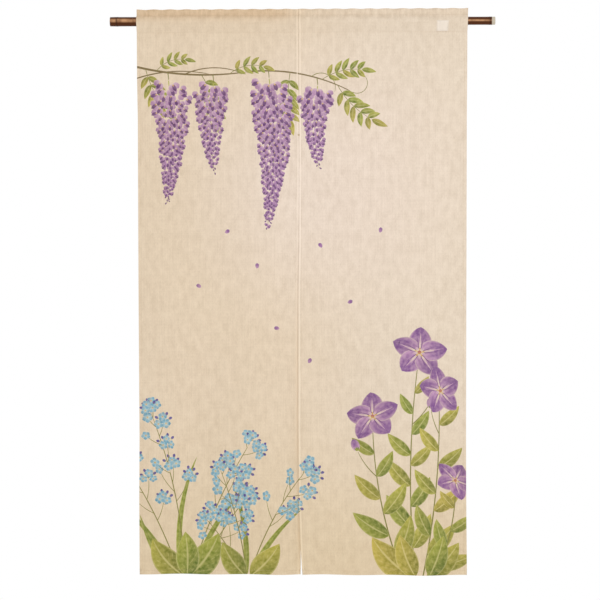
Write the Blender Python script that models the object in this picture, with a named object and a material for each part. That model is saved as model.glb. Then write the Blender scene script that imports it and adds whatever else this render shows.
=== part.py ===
"""A noren: a door curtain of two hemp panels that hang side by side on a bamboo pole.

Units are metres. +X is to the right as the curtain is looked at, +Z is up and its front faces -Y.
The origin is on the pole's axis, halfway along the pole. Heights are measured from there.
"""

import math
from collections import namedtuple

import bmesh
import bpy
from mathutils import Vector

# The pole: a bamboo cane, thicker at its left end
POLE_LENGTH = 1.020
POLE_RADIUS_LEFT = 0.0124
POLE_RADIUS_RIGHT = 0.0106
POLE_DROP = 0.0021  # how much lower its right end hangs than its left
POLE_SIDES = 24
RIDGE_PLACES = (-0.492, -0.305, -0.108, 0.094, 0.297, 0.497)  # the cane's joints, along X
RIDGE_RISE = 0.0005
RIDGE_HALF_WIDTH = 0.0030
RIDGE_TOP_HALF_WIDTH = 0.0010
END_BEVEL = 0.0008
BORE_SHARE = 0.62  # the cane's hollow, as a share of its radius
BORE_DEPTH = 0.011

# The cloth, whose weave and nap are modelled as one thickness
CLOTH = 0.0012
LOOSE = 0.0009  # from the pole's surface to the cloth round it
PIECE_GAP = 0.0003

# Heights on a panel
HEADER_TOP = 0.0327
HEADER_ROWS = (0.0165, 0.0244, 0.0319)  # from the stitch line up to where the fold rounds over
POCKET_FOOT = -0.0280  # the pocket's lower stitch line, where its two walls meet
TURN_IN_FOOT = -0.0345  # the raw edge of the pocket's back wall, turned in behind the sheet
SHEET_FOOT = -1.4653
SHEET_ROWS = 12

# Hems, folded to the back
SIDE_HEM = 0.0090
FOOT_HEM = 0.0120
HEM_FOLD = 0.0006  # what a fold adds to the cloth's thickness
HEM_STEP = 0.0006  # the run over which that thickness ends

# The header's frill, gathered a little by its stitches
RIPPLE_PITCH = 0.0440
RIPPLE_LEAN = 0.0016
RIPPLE_LIFT = 0.0008
STATIONS_PER_RIPPLE = 3

# Where the panels' edges hang: a row for each height, from the header's top to the sheet's foot
Edges = namedtuple("Edges", "height left_edge seam right_edge")
EDGE_ROWS = (
    Edges(HEADER_TOP, -0.4396, -0.0100, 0.4387),
    Edges(-0.030, -0.4390, -0.0099, 0.4365),
    Edges(-0.150, -0.4382, -0.0095, 0.4360),
    Edges(-0.260, -0.4361, -0.0090, 0.4350),
    Edges(-0.400, -0.4356, -0.0082, 0.4347),
    Edges(-0.740, -0.4340, -0.0101, 0.4338),
    Edges(-1.100, -0.4314, -0.0095, 0.4331),
    Edges(-1.270, -0.4321, -0.0082, 0.4337),
    Edges(SHEET_FOOT, -0.4310, -0.0015, 0.4354),
)

# The slit below the sewn part of the seam: nearly shut until its mouth
SEWN_FOOT = -0.303
SLIT_GAP = 0.0006
MOUTH_TOP = -1.380
MOUTH_GAP = 0.0055
MOUTH_CURVE = 1.6

# Soft folds: a row for each, placed across the panel as a share of its width
Fold = namedtuple("Fold", "panel centre half_width push begins")
FOLD_ROWS = (
    Fold("left_panel", 0.14, 0.13, -0.0040, -0.20),
    Fold("left_panel", 0.42, 0.15, 0.0046, -0.45),
    Fold("left_panel", 0.72, 0.13, -0.0038, -0.30),
    Fold("left_panel", 1.00, 0.10, 0.0085, -0.40),
    Fold("right_panel", 0.02, 0.12, -0.0030, -0.55),
    Fold("right_panel", 0.30, 0.15, 0.0050, -0.35),
    Fold("right_panel", 0.60, 0.14, -0.0044, -0.25),
    Fold("right_panel", 0.90, 0.13, 0.0042, -0.50),
)
FOLD_RUN = 0.70  # the height over which a fold grows to its full depth

# The foot edge's own unevenness
FOOT_WAVE = 0.0012
FOOT_WAVE_PITCH = 0.190
FOOT_WAVE_RUN = 0.120

# The label on the right panel's pocket
LABEL_LEFT = 0.3560
LABEL_WIDTH = 0.0310
LABEL_TOP_ANGLE = math.radians(92)  # from straight up, towards the front
LABEL_FOOT_SHARE = 0.03  # of the straight run up from the pocket's foot
LABEL_THICKNESS = 0.0010
LABEL_ARC_STEPS = 3
LABEL_STATIONS = 4

ARC_STEPS = 7  # along the pocket's wall, where it runs round the pole
SHARP = math.radians(40)
WELD = 1e-6


def clear_scene():
    for old in list(bpy.data.objects):
        bpy.data.objects.remove(old, do_unlink=True)


def material(name, colour, roughness, metallic=0.0):
    made = bpy.data.materials.new(name)
    made.use_nodes = True
    shader = made.node_tree.nodes["Principled BSDF"]
    shader.inputs["Base Color"].default_value = (*colour, 1.0)
    shader.inputs["Roughness"].default_value = roughness
    shader.inputs["Metallic"].default_value = metallic
    return made


def finished(name, bm, look):
    """The bmesh as an object in the scene, with outward faces and smooth shading."""
    bmesh.ops.recalc_face_normals(bm, faces=bm.faces)
    mesh = bpy.data.meshes.new(name)
    bm.to_mesh(mesh)
    bm.free()
    mesh.shade_smooth()
    mesh.set_sharp_from_angle(angle=SHARP)
    mesh.materials.append(look)
    made = bpy.data.objects.new(name, mesh)
    bpy.context.scene.collection.objects.link(made)
    return made


def between(start, end, share):
    return start + (end - start) * share


def eased(share):
    """0 to 1 with a soft start and end."""
    share = min(max(share, 0.0), 1.0)
    return share * share * (3.0 - 2.0 * share)


def pole_radius(x):
    return between(POLE_RADIUS_LEFT, POLE_RADIUS_RIGHT, x / POLE_LENGTH + 0.5)


def pole_height(x):
    """The height of the pole's axis, which isn't quite level."""
    return -POLE_DROP * x / POLE_LENGTH


def pole_outline():
    """The cane's turned profile, as (x, radius), from one bore's end to the other's."""
    half = POLE_LENGTH / 2
    outline = [
        (BORE_DEPTH - half, 0.0),
        (BORE_DEPTH - half, pole_radius(-half) * BORE_SHARE),
        (-half, pole_radius(-half) * BORE_SHARE),
        (-half, pole_radius(-half) - END_BEVEL),
        (END_BEVEL - half, pole_radius(-half)),
    ]
    for place in RIDGE_PLACES:
        top = pole_radius(place) + RIDGE_RISE
        outline.append((place - RIDGE_HALF_WIDTH, pole_radius(place - RIDGE_HALF_WIDTH)))
        outline.append((place - RIDGE_TOP_HALF_WIDTH, top))
        outline.append((place + RIDGE_TOP_HALF_WIDTH, top))
        outline.append((place + RIDGE_HALF_WIDTH, pole_radius(place + RIDGE_HALF_WIDTH)))
    outline += [
        (half - END_BEVEL, pole_radius(half)),
        (half, pole_radius(half) - END_BEVEL),
        (half, pole_radius(half) * BORE_SHARE),
        (half - BORE_DEPTH, pole_radius(half) * BORE_SHARE),
        (half - BORE_DEPTH, 0.0),
    ]
    return outline


def make_pole():
    bm = bmesh.new()
    corners = [bm.verts.new((x, 0.0, radius)) for x, radius in pole_outline()]
    for near, far in zip(corners, corners[1:]):
        bm.edges.new((near, far))
    bmesh.ops.spin(
        bm,
        geom=bm.verts[:] + bm.edges[:],
        cent=(0, 0, 0),
        axis=(1, 0, 0),
        angle=math.tau,
        steps=POLE_SIDES,
        use_merge=True,
    )
    bmesh.ops.remove_doubles(bm, verts=bm.verts, dist=WELD)
    for corner in bm.verts:
        corner.co.z += pole_height(corner.co.x)
    cane = material("pole", (0.19, 0.095, 0.035), 0.38)
    return finished("pole", bm, cane)


def wall_line(x):
    """The inside of the pocket's front wall, from its foot to its top, as (point, outward normal).

    The wall runs straight up from the foot until it meets the pole, then round it.
    """
    axis = Vector((0.0, pole_height(x)))
    radius = pole_radius(x) + LOOSE
    lean = math.asin(radius / (axis.y - POCKET_FOOT))
    meeting = math.pi / 2 + lean
    start_normal = Vector((-math.cos(lean), -math.sin(lean)))
    line = [(Vector((0.0, POCKET_FOOT)), start_normal)]
    for step in range(ARC_STEPS + 1):
        angle = meeting * (1 - step / ARC_STEPS)
        normal = Vector((-math.sin(angle), math.cos(angle)))
        line.append((axis + normal * radius, normal))
    return line, lean


def sheet_heights():
    """The heights of the single cloth's rows, from its foot up to the turn-in."""
    foot_hem_top = SHEET_FOOT + FOOT_HEM
    heights = [SHEET_FOOT, foot_hem_top]
    top = TURN_IN_FOOT - HEM_STEP
    start = foot_hem_top + HEM_STEP
    heights += [between(start, top, step / SHEET_ROWS) for step in range(SHEET_ROWS + 1)]
    return heights


def panel_section(x):
    """A panel's cross-section at x: its points as (depth, height) and the faces that fill it."""
    points = []
    faces = []

    def add(depth, height):
        points.append((depth, height))
        return len(points) - 1

    # The single cloth, thicker where its foot is hemmed
    front = []
    back = []
    for height in sheet_heights():
        hemmed = height <= SHEET_FOOT + FOOT_HEM
        front.append(add(-CLOTH, height))
        back.append(add(HEM_FOLD if hemmed else 0.0, height))
    front.append(add(-CLOTH, TURN_IN_FOOT))
    back.append(add(CLOTH, TURN_IN_FOOT))
    for row in range(len(front) - 1):
        faces.append((front[row], back[row], back[row + 1], front[row + 1]))

    # The pocket's two walls, mirror images that share their foot and top points
    line, lean = wall_line(x)
    foot_height = POCKET_FOOT - CLOTH * math.tan(lean / 2)
    outer_radius = pole_radius(x) + LOOSE + CLOTH
    header_foot = pole_height(x) + math.sqrt(outer_radius**2 - CLOTH**2)
    foot = add(*line[0][0])
    top = add(*line[-1][0])
    outer_ends = {}
    for side in (-1, 1):
        outer = [add(side * CLOTH, foot_height)]
        inner = [foot]
        for point, normal in line[1:-1]:
            shifted = point + normal * CLOTH
            outer.append(add(-side * shifted.x, shifted.y))
            inner.append(add(-side * point.x, point.y))
        outer.append(add(side * CLOTH, header_foot))
        inner.append(top)
        for step in range(len(outer) - 1):
            faces.append((outer[step], inner[step], inner[step + 1], outer[step + 1]))
        outer_ends[side] = (outer[0], outer[-1])
    faces.append((front[-1], back[-1], outer_ends[1][0], foot, outer_ends[-1][0]))

    # The header: two layers, folded over at the top
    rows = [(outer_ends[-1][1], outer_ends[1][1])]
    for height in HEADER_ROWS:
        rows.append((add(-CLOTH, height), add(CLOTH, height)))
    rows.append((add(-CLOTH / 2, HEADER_TOP), add(CLOTH / 2, HEADER_TOP)))
    faces.append((rows[0][0], top, rows[0][1], rows[1][1], rows[1][0]))
    for low, high in zip(rows[1:], rows[2:]):
        faces.append((low[0], low[1], high[1], high[0]))
    return points, faces


def edge_at(edge, height):
    """Where an edge hangs at a height, read between the rows of the table."""
    for upper, lower in zip(EDGE_ROWS, EDGE_ROWS[1:]):
        if height >= lower.height:
            share = (upper.height - height) / (upper.height - lower.height)
            return between(getattr(upper, edge), getattr(lower, edge), max(share, 0.0))
    return getattr(EDGE_ROWS[-1], edge)


def slit_gap(height):
    """The gap between the two panels: sewn at the top, nearly shut below, open at its mouth."""
    opened = (SEWN_FOOT - height) / (SEWN_FOOT - MOUTH_TOP)
    gap = between(PIECE_GAP, SLIT_GAP, eased(opened))
    if height < MOUTH_TOP:
        mouth = (MOUTH_TOP - height) / (MOUTH_TOP - SHEET_FOOT)
        gap += (MOUTH_GAP - SLIT_GAP) * mouth**MOUTH_CURVE
    return gap


def panel_edges(name, height):
    seam = edge_at("seam", height)
    if name == "left_panel":
        return edge_at("left_edge", height), seam - slit_gap(height) / 2
    return seam + slit_gap(height) / 2, edge_at("right_edge", height)


def fold_depth(name, share, height):
    """How far the soft folds push the cloth to the back at a place on a panel."""
    depth = 0.0
    for fold in FOLD_ROWS:
        if fold.panel == name:
            grown = eased((fold.begins - height) / FOLD_RUN)
            across = (share - fold.centre) / fold.half_width
            depth += fold.push * grown * math.exp(-(across**2))
    return depth


def cut_width(name):
    left, right = panel_edges(name, HEADER_TOP)
    return right - left


def hung(name, share, depth, height):
    """Where a point of the flat section goes once the panel hangs."""
    left, right = panel_edges(name, height)
    x = between(left, right, share)
    header_share = max(height - HEADER_ROWS[0], 0.0) / (HEADER_TOP - HEADER_ROWS[0])
    if header_share > 0.0:
        turn = math.tau * x / RIPPLE_PITCH
        depth += RIPPLE_LEAN * header_share * math.sin(turn)
        height += RIPPLE_LIFT * header_share * math.sin(turn + 1.0)
    if height < TURN_IN_FOOT:
        from_side = min(share, 1 - share) * cut_width(name)
        if depth >= 0.0 and from_side < SIDE_HEM + HEM_STEP / 2:
            depth = HEM_FOLD
        depth += fold_depth(name, share, height)
        near_foot = eased(1.0 - (height - SHEET_FOOT) / FOOT_WAVE_RUN)
        height += FOOT_WAVE * near_foot * math.sin(math.tau * x / FOOT_WAVE_PITCH)
    return Vector((x, depth, height))


def station_shares(width):
    """Where a panel's cross-sections stand, as shares of its width, closer at its side hems."""
    edge = [0.0, SIDE_HEM / width, (SIDE_HEM + HEM_STEP) / width]
    count = round(width / RIPPLE_PITCH * STATIONS_PER_RIPPLE)
    middle = [between(edge[-1], 1 - edge[-1], step / count) for step in range(1, count)]
    return edge + middle + [1 - share for share in reversed(edge)]


def swept(shares, place, faces):
    """A solid swept through its stations: place(share) gives the section's points at one."""
    bm = bmesh.new()
    row = bm.verts.layers.int.new("row")
    start = []
    for index, point in enumerate(place(shares[0])):
        corner = bm.verts.new(point)
        corner[row] = index
        start.append(corner)
    first = [bm.faces.new([start[index] for index in face]) for face in faces]
    section = first
    for share in shares[1:]:
        grown = bmesh.ops.extrude_face_region(bm, geom=section)
        if section is not first:
            bmesh.ops.delete(bm, geom=section, context="FACES")
        section = [item for item in grown["geom"] if isinstance(item, bmesh.types.BMFace)]
        points = place(share)
        for corner in {corner for face in section for corner in face.verts}:
            corner.co = points[corner[row]]
    return bm


def make_panel(name, look):
    left, right = panel_edges(name, HEADER_TOP)
    faces = panel_section(left)[1]

    def place(share):
        flat = panel_section(between(left, right, share))[0]
        return [hung(name, share, depth, height) for depth, height in flat]

    bm = swept(station_shares(cut_width(name)), place, faces)
    return finished(name, bm, look)


def label_section(x):
    """The label's cross-section, laid on the outside of the pocket's front wall."""
    line, lean = wall_line(x)
    foot, meeting = line[0][0], line[1][0]
    normal = line[0][1]
    axis = Vector((0.0, pole_height(x)))
    radius = pole_radius(x) + LOOSE
    path = [(foot.lerp(meeting, LABEL_FOOT_SHARE), normal), (meeting, normal)]
    for step in range(1, LABEL_ARC_STEPS + 1):
        angle = between(math.pi / 2 + lean, LABEL_TOP_ANGLE, step / LABEL_ARC_STEPS)
        turned = Vector((-math.sin(angle), math.cos(angle)))
        path.append((axis + turned * radius, turned))
    under = [point + turned * (CLOTH + PIECE_GAP) for point, turned in path]
    over = [point + turned * (CLOTH + PIECE_GAP + LABEL_THICKNESS) for point, turned in path]
    count = len(path)
    faces = [(low, low + 1, low + 1 + count, low + count) for low in range(count - 1)]
    return under + over, faces


def make_label():
    faces = label_section(LABEL_LEFT)[1]

    def place(share):
        x = LABEL_LEFT + LABEL_WIDTH * share
        return [Vector((x, point.x, point.y)) for point in label_section(x)[0]]

    shares = [step / LABEL_STATIONS for step in range(LABEL_STATIONS + 1)]
    bm = swept(shares, place, faces)
    return finished("label", bm, material("label", (0.80, 0.72, 0.62), 0.85))


clear_scene()
make_pole()
hemp = material("hemp_cloth", (0.74, 0.60, 0.44), 0.90)
for panel_name in ("left_panel", "right_panel"):
    make_panel(panel_name, hemp)
make_label()
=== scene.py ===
# %% [markdown]
# # A noren: a split door curtain on a bamboo pole
# Two panels of hemp cloth hang side by side from a pole that runs through a sewn pocket.
# The panels are joined for the top fifth of their height and hang free below, so that people can walk
# through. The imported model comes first. It is the fixed frame: every piece below is made to lie where its
# solids lie.

# %% The frame
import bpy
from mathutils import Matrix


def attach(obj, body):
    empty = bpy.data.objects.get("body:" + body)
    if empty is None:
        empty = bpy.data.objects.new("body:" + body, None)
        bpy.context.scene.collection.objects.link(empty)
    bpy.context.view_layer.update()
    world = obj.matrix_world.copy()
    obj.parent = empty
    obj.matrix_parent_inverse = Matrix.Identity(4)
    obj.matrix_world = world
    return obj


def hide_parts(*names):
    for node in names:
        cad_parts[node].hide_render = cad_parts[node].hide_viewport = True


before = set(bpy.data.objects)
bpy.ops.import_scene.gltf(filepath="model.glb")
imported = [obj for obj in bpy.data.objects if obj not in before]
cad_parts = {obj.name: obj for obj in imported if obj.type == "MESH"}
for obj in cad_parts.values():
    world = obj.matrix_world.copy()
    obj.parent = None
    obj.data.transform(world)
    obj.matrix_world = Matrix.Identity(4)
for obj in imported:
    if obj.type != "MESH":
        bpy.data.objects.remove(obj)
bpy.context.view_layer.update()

# %% Tools
import math
import random
from collections import Counter, namedtuple

import bmesh
import bpy
from mathutils import Matrix, Vector
from mathutils.geometry import delaunay_2d_cdt

# %% [markdown]
# ## Where the cloth hangs
# The solids were made from a few measures, and the cloth has to follow the same ones, so they are given
# again here. Heights are from the middle of the pole's axis, +X is to the right and the curtain faces -Y.

# %% Measures of the pole and the pocket
POLE_LENGTH = 1.020
POLE_RADIUS_LEFT = 0.0124
POLE_RADIUS_RIGHT = 0.0106
POLE_DROP = 0.0021  # how much lower its right end hangs than its left
RIDGE_PLACES = (-0.492, -0.305, -0.108, 0.094, 0.297, 0.497)  # the cane's joints, along X
LOOSE = 0.0009  # from the pole to the cloth round it
HEADER_TOP = 0.0327
HEADER_STITCH = 0.0165
POCKET_FOOT = -0.0280
TURN_IN = 0.0065  # the pocket's raw edge, turned in below its stitches
SHEET_FOOT = -1.4653
SIDE_HEM = 0.0090
FOOT_HEM = 0.0120


def between(start, end, share):
    return start + (end - start) * share


def eased(share):
    """0 to 1 with a soft start and end."""
    share = min(max(share, 0.0), 1.0)
    return share * share * (3.0 - 2.0 * share)


def pole_radius(x):
    return between(POLE_RADIUS_LEFT, POLE_RADIUS_RIGHT, x / POLE_LENGTH + 0.5)


def pole_height(x):
    """The height of the pole's axis, which isn't quite level."""
    return -POLE_DROP * x / POLE_LENGTH


print("pole radius at its ends:", pole_radius(-POLE_LENGTH / 2), pole_radius(POLE_LENGTH / 2))

# %% Measures of the panels' edges and the slit
Edges = namedtuple("Edges", "height left_edge seam right_edge")
# From the top down: where the left edge, the seam and the right edge lie along X at each height
EDGE_ROWS = (
    Edges(HEADER_TOP, -0.4396, -0.0100, 0.4387),
    Edges(-0.030, -0.4390, -0.0099, 0.4365),
    Edges(-0.150, -0.4382, -0.0095, 0.4360),
    Edges(-0.260, -0.4361, -0.0090, 0.4350),
    Edges(-0.400, -0.4356, -0.0082, 0.4347),
    Edges(-0.740, -0.4340, -0.0101, 0.4338),
    Edges(-1.100, -0.4314, -0.0095, 0.4331),
    Edges(-1.270, -0.4321, -0.0082, 0.4337),
    Edges(SHEET_FOOT, -0.4310, -0.0015, 0.4354),
)
SEWN_FOOT = -0.303
SEWN_GAP = 0.0003
SLIT_GAP = 0.0006
MOUTH_TOP = -1.380
MOUTH_GAP = 0.0055
MOUTH_CURVE = 1.6


def edge_at(edge, height):
    for upper, lower in zip(EDGE_ROWS, EDGE_ROWS[1:]):
        if height >= lower.height:
            share = (upper.height - height) / (upper.height - lower.height)
            return between(getattr(upper, edge), getattr(lower, edge), max(share, 0.0))
    return getattr(EDGE_ROWS[-1], edge)


def slit_gap(height):
    opened = (SEWN_FOOT - height) / (SEWN_FOOT - MOUTH_TOP)
    gap = between(SEWN_GAP, SLIT_GAP, eased(opened))
    if height < MOUTH_TOP:
        mouth = (MOUTH_TOP - height) / (MOUTH_TOP - SHEET_FOOT)
        gap += (MOUTH_GAP - SLIT_GAP) * mouth**MOUTH_CURVE
    return gap


def panel_edges(panel, height):
    seam = edge_at("seam", height)
    if panel == "left_panel":
        return edge_at("left_edge", height), seam - slit_gap(height) / 2
    return seam + slit_gap(height) / 2, edge_at("right_edge", height)


def panel_width(panel):
    left, right = panel_edges(panel, HEADER_TOP)
    return right - left


PANELS = ("left_panel", "right_panel")
print("finished widths:", [round(panel_width(panel), 4) for panel in PANELS])

# %% Measures of the soft folds and the header's frill
Fold = namedtuple("Fold", "panel centre half_width push begins")
# Centre and half width are shares of the panel's width, push is the depth, and begins is a height
FOLD_ROWS = (
    Fold("left_panel", 0.14, 0.13, -0.0040, -0.20),
    Fold("left_panel", 0.42, 0.15, 0.0046, -0.45),
    Fold("left_panel", 0.72, 0.13, -0.0038, -0.30),
    Fold("left_panel", 1.00, 0.10, 0.0085, -0.40),
    Fold("right_panel", 0.02, 0.12, -0.0030, -0.55),
    Fold("right_panel", 0.30, 0.15, 0.0050, -0.35),
    Fold("right_panel", 0.60, 0.14, -0.0044, -0.25),
    Fold("right_panel", 0.90, 0.13, 0.0042, -0.50),
)
FOLD_RUN = 0.70  # the height over which a fold grows to its full depth
FOOT_WAVE = 0.0012
FOOT_WAVE_PITCH = 0.190
FOOT_WAVE_RUN = 0.120
RIPPLE_PITCH = 0.0440
RIPPLE_LEAN = 0.0016
RIPPLE_LIFT = 0.0008


def fold_depth(panel, share, height):
    depth = 0.0
    for fold in FOLD_ROWS:
        if fold.panel == panel:
            grown = eased((fold.begins - height) / FOLD_RUN)
            across = (share - fold.centre) / fold.half_width
            depth += fold.push * grown * math.exp(-(across**2))
    return depth


print("deepest fold at the foot:", round(fold_depth("left_panel", 1.0, SHEET_FOOT) * 1000, 1), "mm")

# %% [markdown]
# ## From flat cloth to hung cloth
# A curtain maker cuts a flat piece, paints it, folds its hems and its pocket, and hangs it. The script
# works in the same order. One function, `cloth_point`, says where a point of the flat piece ends up. In it u
# is the place across the panel, v the place along its length, and lift the distance off the cloth's middle.
# Past the sides the cloth turns behind itself, which makes the hems, and past the top it runs down the back.
# Everything that sits on the cloth, such as a stitch or the label, is placed through the same function.
# Simulated cloth would sag into a shape of its own, and here the shape in which it hangs is already known.

# %% The pocket's wall, seen from its end
FACE = 0.00085  # from the pocket's inside to the middle of its cloth
WOVEN = 0.0005  # the cloth's own thickness
FLAP = 0.00055  # between a hem's two layers, middle to middle
HEM_TURN = 0.0004  # the run of cloth that goes round a hem's edge
TURNED_IN_DEPTH = 0.0003
FOLD_CENTRE = HEADER_TOP - FACE - WOVEN / 2


def wall_shape(x):
    """How the wall runs at x: the pole's axis, the radius round it, and where it meets and leaves it."""
    axis = Vector((0.0, pole_height(x)))
    radius = pole_radius(x) + LOOSE
    turned = radius + FACE
    lean = math.asin(radius / (axis.y - POCKET_FOOT))
    rise = HEADER_STITCH - axis.y
    leaving = math.atan2(FACE, rise) + math.acos(turned / math.hypot(FACE, rise))
    return axis, turned, math.pi / 2 + lean, leaving


def run_lengths():
    """The lengths of the wall's four runs at the pole's middle: foot, round, shoulder and header."""
    turned, meeting, leaving = wall_shape(0.0)[1:]
    foot = math.sqrt(POCKET_FOOT**2 - turned**2)
    shoulder = math.sqrt(FACE**2 + HEADER_STITCH**2 - turned**2)
    return foot, turned * (meeting - leaving), shoulder, FOLD_CENTRE - HEADER_STITCH


FOOT_RUN, ROUND_RUN, SHOULDER_RUN, HEADER_RUN = run_lengths()
POCKET_RUN = FOOT_RUN + ROUND_RUN + SHOULDER_RUN
FOLD_OVER_RUN = FACE * math.pi / 2
TOP_RUN = POCKET_RUN + HEADER_RUN + FOLD_OVER_RUN
CLOTH_END = POCKET_FOOT + 2 * TOP_RUN + TURN_IN


def turned_to(angle):
    """A direction from straight up, turned towards the front, as (depth, height)."""
    return Vector((-math.sin(angle), math.cos(angle)))


def wall_point(x, run):
    """A place on the front wall and its outward direction, at a run of cloth above the pocket's foot."""
    axis, turned, meeting, leaving = wall_shape(x)
    if run < FOOT_RUN:
        start = Vector((-FACE, POCKET_FOOT))
        return start.lerp(axis + turned_to(meeting) * turned, run / FOOT_RUN), turned_to(meeting)
    run -= FOOT_RUN
    if run < ROUND_RUN:
        angle = between(meeting, leaving, run / ROUND_RUN)
        return axis + turned_to(angle) * turned, turned_to(angle)
    run -= ROUND_RUN
    if run < SHOULDER_RUN:
        stitch = Vector((-FACE, HEADER_STITCH))
        return (axis + turned_to(leaving) * turned).lerp(stitch, run / SHOULDER_RUN), turned_to(leaving)
    run -= SHOULDER_RUN
    if run < HEADER_RUN:
        return Vector((-FACE, HEADER_STITCH + run)), turned_to(math.pi / 2)
    angle = between(math.pi / 2, 0.0, min((run - HEADER_RUN) / FOLD_OVER_RUN, 1.0))
    return Vector((0.0, FOLD_CENTRE)) + turned_to(angle) * FACE, turned_to(angle)


print("cloth in the pocket and header:", round(2 * TOP_RUN * 1000, 1), "mm")

# %% The cloth's small creases
CREASE_PITCH = 0.0213
CREASE_DEPTH = 0.00038
CREASE_RUN = 0.045  # how far below the pocket they fade out
BULGE = 0.00040
GROOVE = 0.0006
GROOVE_WIDTH = 0.0014
SEAM_RIDGE = 0.0005
SEAM_RIDGE_PLACE = 0.0044
SEAM_RIDGE_WIDTH = 0.0020
SEAM_FADE = 0.030


def crease_wave(x):
    """The gathers that the stitches leave, about -1 to 1, a little uneven along the pole."""
    main = math.sin(math.tau * x / CREASE_PITCH + 1.3 * math.sin(math.tau * x / 0.19))
    return 0.7 * main + 0.3 * math.sin(math.tau * x / 0.0131 + 0.8)


def seam_depth(from_seam, height):
    """Beside the seam the cloth dips into a groove, with a low ridge next to it."""
    sewn = eased((height - SEWN_FOOT) / SEAM_FADE + 1.0)
    dip = GROOVE * math.exp(-((from_seam / GROOVE_WIDTH) ** 2))
    ridge = SEAM_RIDGE * math.exp(-(((from_seam - SEAM_RIDGE_PLACE) / SEAM_RIDGE_WIDTH) ** 2))
    return sewn * (dip - ridge)


print("crease at the pole's middle:", round(crease_wave(0.0), 2))


# %% From flat cloth to hung cloth
def cloth_point(panel, u, v, lift=0.0):
    """Where a point of the flat piece hangs."""
    # Past an edge the cloth turns behind itself and runs back, as a hem
    width = panel_width(panel)
    aside = max(-u, u - width, 0.0)
    below = max(SHEET_FOOT - v, 0.0)
    beyond = max(aside, below)
    turned = min(beyond / HEM_TURN, 1.0)
    inner = max(beyond - HEM_TURN, 0.0)
    if below > aside:
        v = SHEET_FOOT + inner
        u = min(max(u, 0.0), width)
    elif aside > 0.0:
        u = inner if u < 0.0 else width - inner

    # Past the header's fold it comes down the back
    run = v - POCKET_FOOT
    side = 1.0
    if run > TOP_RUN:
        run = 2 * TOP_RUN - run
        side = -1.0

    # Below the pocket it hangs straight, and above its foot it follows the wall round the pole
    nominal = POCKET_FOOT + run
    if run > 0.0:
        nominal = wall_point(0.0, run)[0].y
    left, right = panel_edges(panel, nominal)
    x = between(left, right, u / width)
    if run > 0.0:
        point, outward = wall_point(x, run)
    else:
        point = Vector((-FACE, nominal))
        outward = turned_to(math.pi / 2)
        if side < 0.0:
            point.x = -between(FACE, TURNED_IN_DEPTH, min(-run / TURN_IN, 1.0))

    # Then come the gathers, the frill, the seam's groove, the soft folds and the foot's wave
    in_pocket = math.sin(math.pi * min(max(run / POCKET_RUN, 0.0), 1.0))
    point = point + outward * (lift - FLAP * turned)
    point += outward * (BULGE * in_pocket * (1.0 + crease_wave(x)))
    depth = point.x * side
    height = point.y
    near_pocket = eased(1.0 + run / CREASE_RUN)
    depth += CREASE_DEPTH * near_pocket * (1.0 - 0.6 * in_pocket) * crease_wave(x)
    header_share = max(height - HEADER_STITCH, 0.0) / (HEADER_TOP - HEADER_STITCH)
    turn = math.tau * x / RIPPLE_PITCH
    depth += RIPPLE_LEAN * header_share * math.sin(turn)
    height += RIPPLE_LIFT * header_share * math.sin(turn + 1.0)
    from_seam = width - u if panel == "left_panel" else u
    depth += seam_depth(from_seam, height) * side
    depth += fold_depth(panel, u / width, height)
    near_foot = eased(1.0 - (height - SHEET_FOOT) / FOOT_WAVE_RUN)
    height += FOOT_WAVE * near_foot * math.sin(math.tau * x / FOOT_WAVE_PITCH)
    return Vector((x, depth, height))


header_top = cloth_point("left_panel", 0.2, POCKET_FOOT + TOP_RUN)
print("top of the header:", [round(value, 4) for value in header_top])

# %% [markdown]
# ## Materials
# Each finish is made of shader nodes. A few short helpers keep the recipes readable: one adds a node, one
# does a sum, one mixes two colours. Effects that several finishes share are node groups with named inputs
# and outputs.


# %% Helpers for colours and nodes
def screen_colour(red, green, blue):
    """A colour given as 0 to 255 on a screen, in the linear values that a shader uses."""
    values = []
    for value in (red / 255, green / 255, blue / 255):
        values.append(value / 12.92 if value <= 0.04045 else ((value + 0.055) / 1.055) ** 2.4)
    return tuple(values)


def feed(tree, socket, value):
    if isinstance(value, bpy.types.NodeSocket):
        tree.links.new(value, socket)
    elif isinstance(value, tuple) and len(value) == 3 and socket.type == "RGBA":
        socket.default_value = (*value, 1.0)
    else:
        socket.default_value = value


def add(tree, kind, inputs=None, **settings):
    made = tree.nodes.new(kind)
    for setting, value in settings.items():
        setattr(made, setting, value)
    for socket, value in (inputs or {}).items():
        feed(tree, made.inputs[socket], value)
    return made


def calc(tree, operation, *values, clamp=False):
    made = add(tree, "ShaderNodeMath", operation=operation, use_clamp=clamp)
    for place, value in enumerate(values):
        feed(tree, made.inputs[place], value)
    return made.outputs[0]


def mix(tree, share, first, second, blend="MIX"):
    made = add(tree, "ShaderNodeMix", data_type="RGBA", blend_type=blend, clamp_factor=True)
    feed(tree, made.inputs[0], share)
    feed(tree, made.inputs[6], first)
    feed(tree, made.inputs[7], second)
    return made.outputs[2]


print("hemp, as a shader value:", [round(value, 3) for value in screen_colour(228, 210, 184)])


# %% Helpers for patterns, groups and materials
def soft_step(tree, value, low, high):
    """0 below low, 1 above high, with a soft change between."""
    made = add(tree, "ShaderNodeMapRange", interpolation_type="SMOOTHSTEP")
    for socket, given in zip(("Value", "From Min", "From Max"), (value, low, high)):
        feed(tree, made.inputs[socket], given)
    return made.outputs[0]


def stretched_noise(tree, vector, scale, detail=2.0):
    """Noise drawn out along an axis: scale gives how many blobs to a metre each way."""
    moved = add(tree, "ShaderNodeVectorMath", {0: vector, 1: Vector(scale)}, operation="MULTIPLY")
    made = add(tree, "ShaderNodeTexNoise", {"Vector": moved.outputs[0], "Scale": 1.0, "Detail": detail})
    return made.outputs["Fac"]


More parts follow.
